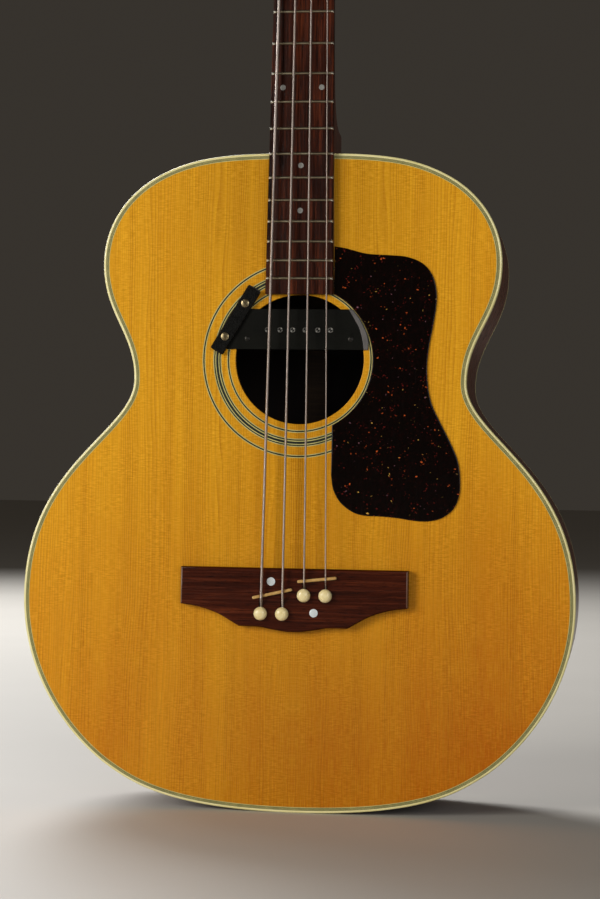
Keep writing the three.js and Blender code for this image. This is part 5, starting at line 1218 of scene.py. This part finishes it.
# ---------------------------------------------------------------- tuning machines
TEETH = 16
HALF_TURN = 180.0 / TEETH / 2  # half of the degrees that half a turn of a key turns its post by
WHEEL_RADIUS, WORM_RADIUS = 8.0, 3.0
WHEEL_HALF = 1.8  # of the wheel's thickness
TOOTH_PITCH = 2 * pi * WHEEL_RADIUS / TEETH
TOOTH = [(7.0, -0.4), (7.05, -0.305), (8.55, -0.14), (8.7, -0.1), (8.7, 0.1), (8.55, 0.14),
         (7.05, 0.305), (7.0, 0.4)]  # radius, and place as a share of the pitch
GEAR_DISTANCE = WHEEL_RADIUS + WORM_RADIUS
BASE_THICKNESS = 2.0
PLATE_BACK = -HEAD_THICKNESS - 0.3 - BASE_THICKNESS
WORM_DEPTH = PLATE_BACK - 0.3 - 3.7
WORM_HALF = 1.5 * TOOTH_PITCH
LUG_INNER = WORM_HALF + 0.6
LUG_OUTER = LUG_INNER + 3.0
WHEEL_BACK = WORM_DEPTH - WHEEL_HALF + 0.2
BUTTON_RADIUS = 12.0


def wheel_part():
    """Worm wheel whose teeth lie along the worm's thread."""
    sections = []
    for depth in (-WHEEL_HALF, -WHEEL_HALF + 0.3, 0.0, WHEEL_HALF - 0.3, WHEEL_HALF):
        end = 0.25 if abs(depth) == WHEEL_HALF else 0.0
        lean = TOOTH_PITCH / (2 * pi * WORM_RADIUS * WHEEL_RADIUS) * depth
        ring = []
        for tooth in range(TEETH):
            for radius, share in TOOTH:
                angle = -pi / 2 + 2 * pi * (tooth + 0.5 + share) / TEETH + lean
                r = radius - end * (radius - 6.9) / 1.8
                ring.append((r * cos(angle), r * sin(angle), WORM_DEPTH + depth))
        sections.append(ring)
    return loft(sections)


def post_parts(index):
    """Slotted post with its wheel and hub screw, about its own axis."""
    shaft = [
        (0, WHEEL_BACK), (4.2, WHEEL_BACK), (4.2, PLATE_BACK - 0.3), (3.0, PLATE_BACK - 0.3),
        (3.0, -12), (POST_RADIUS, -12), (POST_RADIUS, 5.6), (4.45, 6.1), (4.3, 7.2), (4.3, 13.4),
        (4.5, 14.6), (POST_RADIUS, 15.6), (POST_RADIUS, 18.2), (4.5, 18.7), (4.1, 19.0), (0, 19.0),
    ]
    _, bend, slot_angle = string_wraps(index)
    bend = [p - np.array([*POSTS[STRINGS[index]], 0]) for p in bend]
    room = DIAMETERS[STRINGS[index]] / 2 + CLEARANCE
    wide = room + POST_RADIUS * sin(radians(HALF_TURN))
    slot = box_part((-wide, -wide, WRAP_TOP - room), (POST_RADIUS + 2, wide, 21))
    slot = turned_by(slot, degrees(slot_angle) + HALF_TURN)
    mouth = turned_by(tube(bend, wide + 0.15, 16), HALF_TURN)
    centre_hole = lathe([(0, 12.0), (1.3, 12.0), (1.3, 21), (0, 21)], 20)
    hub = turned_by(screw_head(3.0, 2.4, 0.8, 0.9), 25 + 40 * index)
    return [carved(lathe(shaft), slot, mouth, centre_hole), wheel_part(),
            turned_over(hub, 0, 0, WHEEL_BACK)]


def worm_part(side):
    """Shaft with a real thread, collar and stem along x, below the post."""
    def ring(x, radius_at):
        return [(x, radius_at(t) * cos(t), radius_at(t) * sin(t)) for t in around(32)]

    def plain(rows):
        return [ring(side * x, lambda t, r=radius: r) for x, radius in rows]

    def thread(x):
        def radius_at(turn):
            phase = (x / TOOTH_PITCH - turn / (2 * pi)) % 1.0
            off = abs((phase - 1 / 12 + 0.5) % 1.0 - 0.5)
            fade = min(1.0, (WORM_HALF - abs(x)) / 0.8)
            height = min(max((0.25 - off) / (0.25 - 1 / 12), 0.0), 1.0)
            return 2.0 + 1.68 * height * fade
        return ring(x, radius_at)

    collar = LUG_OUTER + 0.3
    sections = plain([(-LUG_OUTER - 0.9, 1.5), (-LUG_OUTER - 0.6, 1.98), (-WORM_HALF, 1.98)])
    sections += [thread(x) for x in np.linspace(-WORM_HALF, WORM_HALF, 73)[1:-1] * side]
    return loft(sections + plain([
        (WORM_HALF, 1.98), (collar, 1.98), (collar, 2.9), (collar + 0.4, 3.4), (collar + 1.6, 3.4),
        (collar + 2, 2.9), (collar + 2.3, 2.2), (collar + 4, 2.1), (20.5, 2.4), (24, 2.6),
        (27.5, 1.8),
    ]))


def button_part(side):
    """Clover button with soft edges and a shallow dish on each face."""
    centre = side * (22.0 + BUTTON_RADIUS * 0.6)
    reaches = [BUTTON_RADIUS * (0.8 + 0.195 * cos(3 * t)) for t in around(72)]
    at, inward = rim([(centre + side * r * cos(t), r * sin(t))
                      for r, t in zip(reaches, around(72))])
    middle = np.array([centre, 0])
    dish = [(middle + (at - middle) * share, 1.75 + 0.45 * share) for share in (0.25, 0.5, 0.72)]
    dish += [(at + inset * inward, 2.5 * share) for share, inset in (
        (1, 3.2), (1, 2.3), (0.93, 1.5), (0.8, 0.8), (0.6, 0.3), (0.3, 0.05))]
    faces = dish + [(at, 0.0)] + [(places, -depth) for places, depth in dish[::-1]]
    return loft([[(*place, depth) for place in places] for places, depth in faces])


def machine_plate_parts():
    """Rounded base with two bearing lugs and four screws."""
    front = PLATE_BACK + BASE_THICKNESS + 0.28
    rims = [rim(rounded_box(12.0, -25.0, 13.0, 3.0)), round_hole(0, 0, 3.4, 32)]
    parts = [plate(rims, [rounded_edge(PLATE_BACK, front, r, 0.1, 3) for r in (0.7, 0.2)])]
    wide = 3.5
    lug = [(-GEAR_DISTANCE - wide, PLATE_BACK + 0.5), (-GEAR_DISTANCE - wide, WORM_DEPTH)]
    lug += arc(-GEAR_DISTANCE, WORM_DEPTH, -wide, np.linspace(0.2, pi - 0.2, 12))
    lug += [(-GEAR_DISTANCE + wide, WORM_DEPTH), (-GEAR_DISTANCE + wide, PLATE_BACK + 0.5)]
    rims = [rim(lug), round_hole(-GEAR_DISTANCE, WORM_DEPTH, 2.25, 28)]
    upright = frame_matrix((0, 1, 0), (0, 0, 1), (1, 0, 0))
    for left, right in ((-LUG_OUTER, -LUG_INNER), (LUG_INNER, LUG_OUTER)):
        edges = [rounded_edge(left, right, r, r, 2, 0.1) for r in (0.35, 0.15)]
        parts.append(plate(rims, edges).placed(upright))
    head = screw_head(2.0, 1.3, 0.6, 0.7, cross=True)
    for k, (x, y) in enumerate(((-9, 10), (9, 10), (-9, -22), (9, -22))):
        parts.append(turned_over(turned_by(head, 17 + 31 * k), x, y, PLATE_BACK + 0.1))
    return parts


BUSHING = [
    (5.0, -8.9), (6.6, -8.9), (6.6, 2.4), (8.9, 2.4), (9.0, 2.6), (9.0, 3.2), (8.7, 3.6),
    (7.9, 3.8), (7.3, 4.0), (6.9, 4.5), (6.3, 4.75), (5.4, 4.8), (5.05, 4.6), (5.0, -8.9),
]
for index, name in enumerate(STRINGS):
    machine = HEAD @ shift(*POSTS[name], 0)
    key = machine @ shift(0, -GEAR_DISTANCE, WORM_DEPTH)
    side = -1 if POSTS[name][0] < 0 else 1
    piece(f"bushing_{name}_turned", lathe(BUSHING).placed(machine), NICKEL, "tuner_metal",
          [f"post_bushing_{name}"])
    piece(f"machine_plate_{name}", [p.placed(machine) for p in machine_plate_parts()], NICKEL,
          "tuner_metal", [f"tuner_plate_{name}"])
    piece(f"post_{name}_turned", [p.placed(machine) for p in post_parts(index)], NICKEL,
          "tuner_metal", [f"string_post_{name}"], body=f"post_{name}")
    piece(f"key_{name}_clover", [p.placed(key) for p in (worm_part(side), button_part(side))],
          NICKEL, "key_metal", [f"tuner_key_{name}"], body=f"key_{name}", angle=40)

# ---------------------------------------------------------------- pickup
BODY_RADIUS = HOLE_RADIUS - 0.6
PICKUP_LOW, PICKUP_HIGH = 8.0, 41.1  # above the soundhole's centre, as the heights below
PICKUP_FRONT = TOP_Y - 1.9
LIP_INSIDE = [(53.2, PICKUP_LOW), (52.0, 16.5), (49.3, 25.6), (45.3, 33.0), (40.4, PICKUP_HIGH)]
LIP_OUTSIDE = [(57.1, PICKUP_LOW), (57.2, 14.0), (56.0, 20.7), (53.6, 26.4), (49.4, 34.0),
               (43.9, PICKUP_HIGH)]
POLE_RISE, POLE_PITCH = 24.0, 10.4

turns = np.linspace(asin(PICKUP_LOW / BODY_RADIUS), asin(PICKUP_HIGH / BODY_RADIUS), 18)
housing = arc(0, HOLE_CENTRE, BODY_RADIUS, turns)
lip_inside, lip_outside = (
    [(x, HOLE_CENTRE + rise) for x, rise in spline(line, 5)] for line in (LIP_INSIDE, LIP_OUTSIDE))
face_left = [(-46.9, HOLE_CENTRE + PICKUP_HIGH), (-66.5, HOLE_CENTRE + PICKUP_LOW)]
piece("pickup_body", [
    sheet(housing + mirrored(housing), rounded_edge(TOP_Y - 1.0, TOP_Y + 14, 0.3, 1.0)),
    sheet(lip_inside + face_left, rounded_edge(PICKUP_FRONT, TOP_Y - BURIED, 0.3, 0.1)),
], SATIN_BLACK, "black_plastic", ["pickup_housing"])
lip = [(x + BURIED, z) for x, z in lip_inside] + lip_outside[::-1]
lip_edge = [(0.9, PICKUP_FRONT), (0.75, PICKUP_FRONT), (0.5, PICKUP_FRONT + 0.1),
            (0.0, PICKUP_FRONT + 0.7), (0.0, TOP_Y - BURIED), (0.5, TOP_Y - BURIED)]
# The lip's grey is a painted reflection on black plastic.
piece("pickup_lip", sheet(lip, lip_edge), LIP_REFLECTION, "black_plastic")

pole = lathe([(0, 0.1), (1.2, 0.1), (1.3, 0.4), (1.9, 0.45), (2.15, 0.3), (2.2, 0.05), (2.2, -1),
              (0, -1)], 28)
pole = carved(pole, box_part((-3, -0.3, -0.25), (3, 0.3, 2)))
piece("pickup_poles", [faced(pole, (i - 2.5) * POLE_PITCH, HOLE_CENTRE + POLE_RISE, PICKUP_FRONT)
                       for i in range(6)], DARK_STEEL, "black_plastic")
screw = screw_head(2.1, 0.7, 0.5, 0.45, cross=True)
piece("pickup_screws", [faced(turned_by(screw, 20 * s), s * 42.7, HOLE_CENTRE + 16.7, PICKUP_FRONT)
                        for s in (-1, 1)], DARK_STEEL, "black_plastic")

CLAMP_LOW, CLAMP_HIGH = np.array([-68.0, 5.9]), np.array([-36.7, 58.1])
CLAMP_LENGTH = float(np.linalg.norm(CLAMP_HIGH - CLAMP_LOW))
CLAMP_WAY = (CLAMP_HIGH - CLAMP_LOW) / CLAMP_LENGTH
CLAMP_SIDE = np.array([CLAMP_WAY[1], -CLAMP_WAY[0]])
CLAMP_FRONT = TOP_Y - 5.0
CLAMP_END = [(1.5, 5.9), (0.4, 5.4), (0, 4.4)]  # a corner of the bar, along it and across


def clamp_at(along, across):
    return CLAMP_LOW + (0, HOLE_CENTRE) + along * CLAMP_WAY + across * CLAMP_SIDE


def clamp_bevel(middle, normal):
    """The bar's bevel that faces the strings near its upper end, which gets a painted glint."""
    return middle[2] > HOLE_CENTRE + 42 and normal[0] > 0.35 and normal[1] < -0.2


clamp_outline = [(a, -b) for a, b in CLAMP_END] + CLAMP_END[::-1]
clamp_outline += [(CLAMP_LENGTH - a, b) for a, b in clamp_outline[::-1]]
clamp_edge = [(0.8, CLAMP_FRONT), (0.6, CLAMP_FRONT), (0.08, TOP_Y - 4.45), (0, TOP_Y - 4.3),
              (0, TOP_Y - 2.02), (0.5, TOP_Y - 2.02)]
piece("clamp_bar", sheet([clamp_at(*p) for p in clamp_outline], clamp_edge), HARD_BLACK,
      "black_plastic", ["pickup_clamp"], edges=(BLACK_GLINT, clamp_bevel))
screw = screw_head(3.4, 1.6, 1.0, 1.0, dome=0.35)
shank = lathe([(0, 0), (1.5, 0), (1.5, -4.4), (0, -4.4)], 20)
for name, along, angle in (("low", 14.2, 109), ("high", CLAMP_LENGTH - 14.8, 131)):
    parts = [faced(part, *clamp_at(along, 0), CLAMP_FRONT)
             for part in (turned_by(screw, angle), shank)]
    piece(f"clamp_screw_{name}_slotted", parts, BRASSY, "screw", [f"clamp_screw_{name}"])

# ---------------------------------------------------------------- stage, light, camera
FLOOR_HALF = 30  # metres
floor_mesh = bpy.data.meshes.new("floor")
corners = [(x * FLOOR_HALF, y * FLOOR_HALF, 0) for x, y in ((-1, -1), (1, -1), (1, 1), (-1, 1))]
floor_mesh.from_pydata(corners, [], [(0, 1, 2, 3)])
floor = linked("floor", floor_mesh)
look = Look("pale_floor", roughness=0.6)
haze = look.noise([260] * 3, rough=0.5)
tone = look.mix(haze, linear(196, 192, 185), linear(203, 199, 192))
floor_mesh.materials.append(look.wire(tone, None, haze, 0.02, 0.1))

world = bpy.data.worlds.new("studio")
bpy.context.scene.world = world
world.use_nodes = True
background = next(n for n in world.node_tree.nodes if n.type == "BACKGROUND")
background.inputs[0].default_value = (1.0, 0.86, 0.70, 1)
background.inputs[1].default_value = 0.038

for name, place, height, size, power, colour in (  # metres and watts; each looks at a height
    ("key", (-2.6, -2.9, 1.2), 0.3, 2.0, 102, (1, 0.97, 0.92)),
    ("fill", (1.7, -3.7, 1.0), 0.3, 1.8, 40, (0.97, 0.98, 1)),
    ("rear", (-1.7, 2.9, 2.6), 0.5, 2.2, 125, (1, 1, 1)),
    ("rear_fill", (-2.8, 2.2, 1.4), 0.5, 2.0, 55, (1, 1, 1)),
):
    light = bpy.data.lights.new(name, "AREA")
    light.shape, light.size, light.energy, light.color = "DISK", size, power, colour
    made = linked(name, light)
    made.location = place
    way = Vector((0, 0, height)) - Vector(place)
    made.rotation_euler = way.to_track_quat("-Z", "Y").to_euler()

# Camera as fitted to the photograph: its turn, pitch and roll in degrees, lens and place
TURN, PITCH, ROLL = (radians(angle) for angle in (8.36736, 0.97265, 0.9742))
LENS, SENSOR = 88.48421, 36
CAMERA_PLACE = (0.265, -1.84843, 0.26568)
level = Vector((cos(TURN), sin(TURN), 0))
upright = Vector((sin(PITCH) * sin(TURN), -sin(PITCH) * cos(TURN), cos(PITCH)))
ahead = Vector((-sin(TURN) * cos(PITCH), cos(TURN) * cos(PITCH), sin(PITCH)))
right = cos(ROLL) * level + sin(ROLL) * upright
above = -sin(ROLL) * level + cos(ROLL) * upright
camera_data = bpy.data.cameras.new("camera")
camera_data.lens, camera_data.sensor_width, camera_data.clip_start = LENS, SENSOR, 0.05
camera = linked("camera", camera_data)
basis = Matrix((right, above, -ahead)).transposed().to_4x4()
camera.matrix_world = Matrix.Translation(CAMERA_PLACE) @ basis
bpy.context.scene.camera = camera
bpy.context.scene.view_settings.view_transform = "Standard"
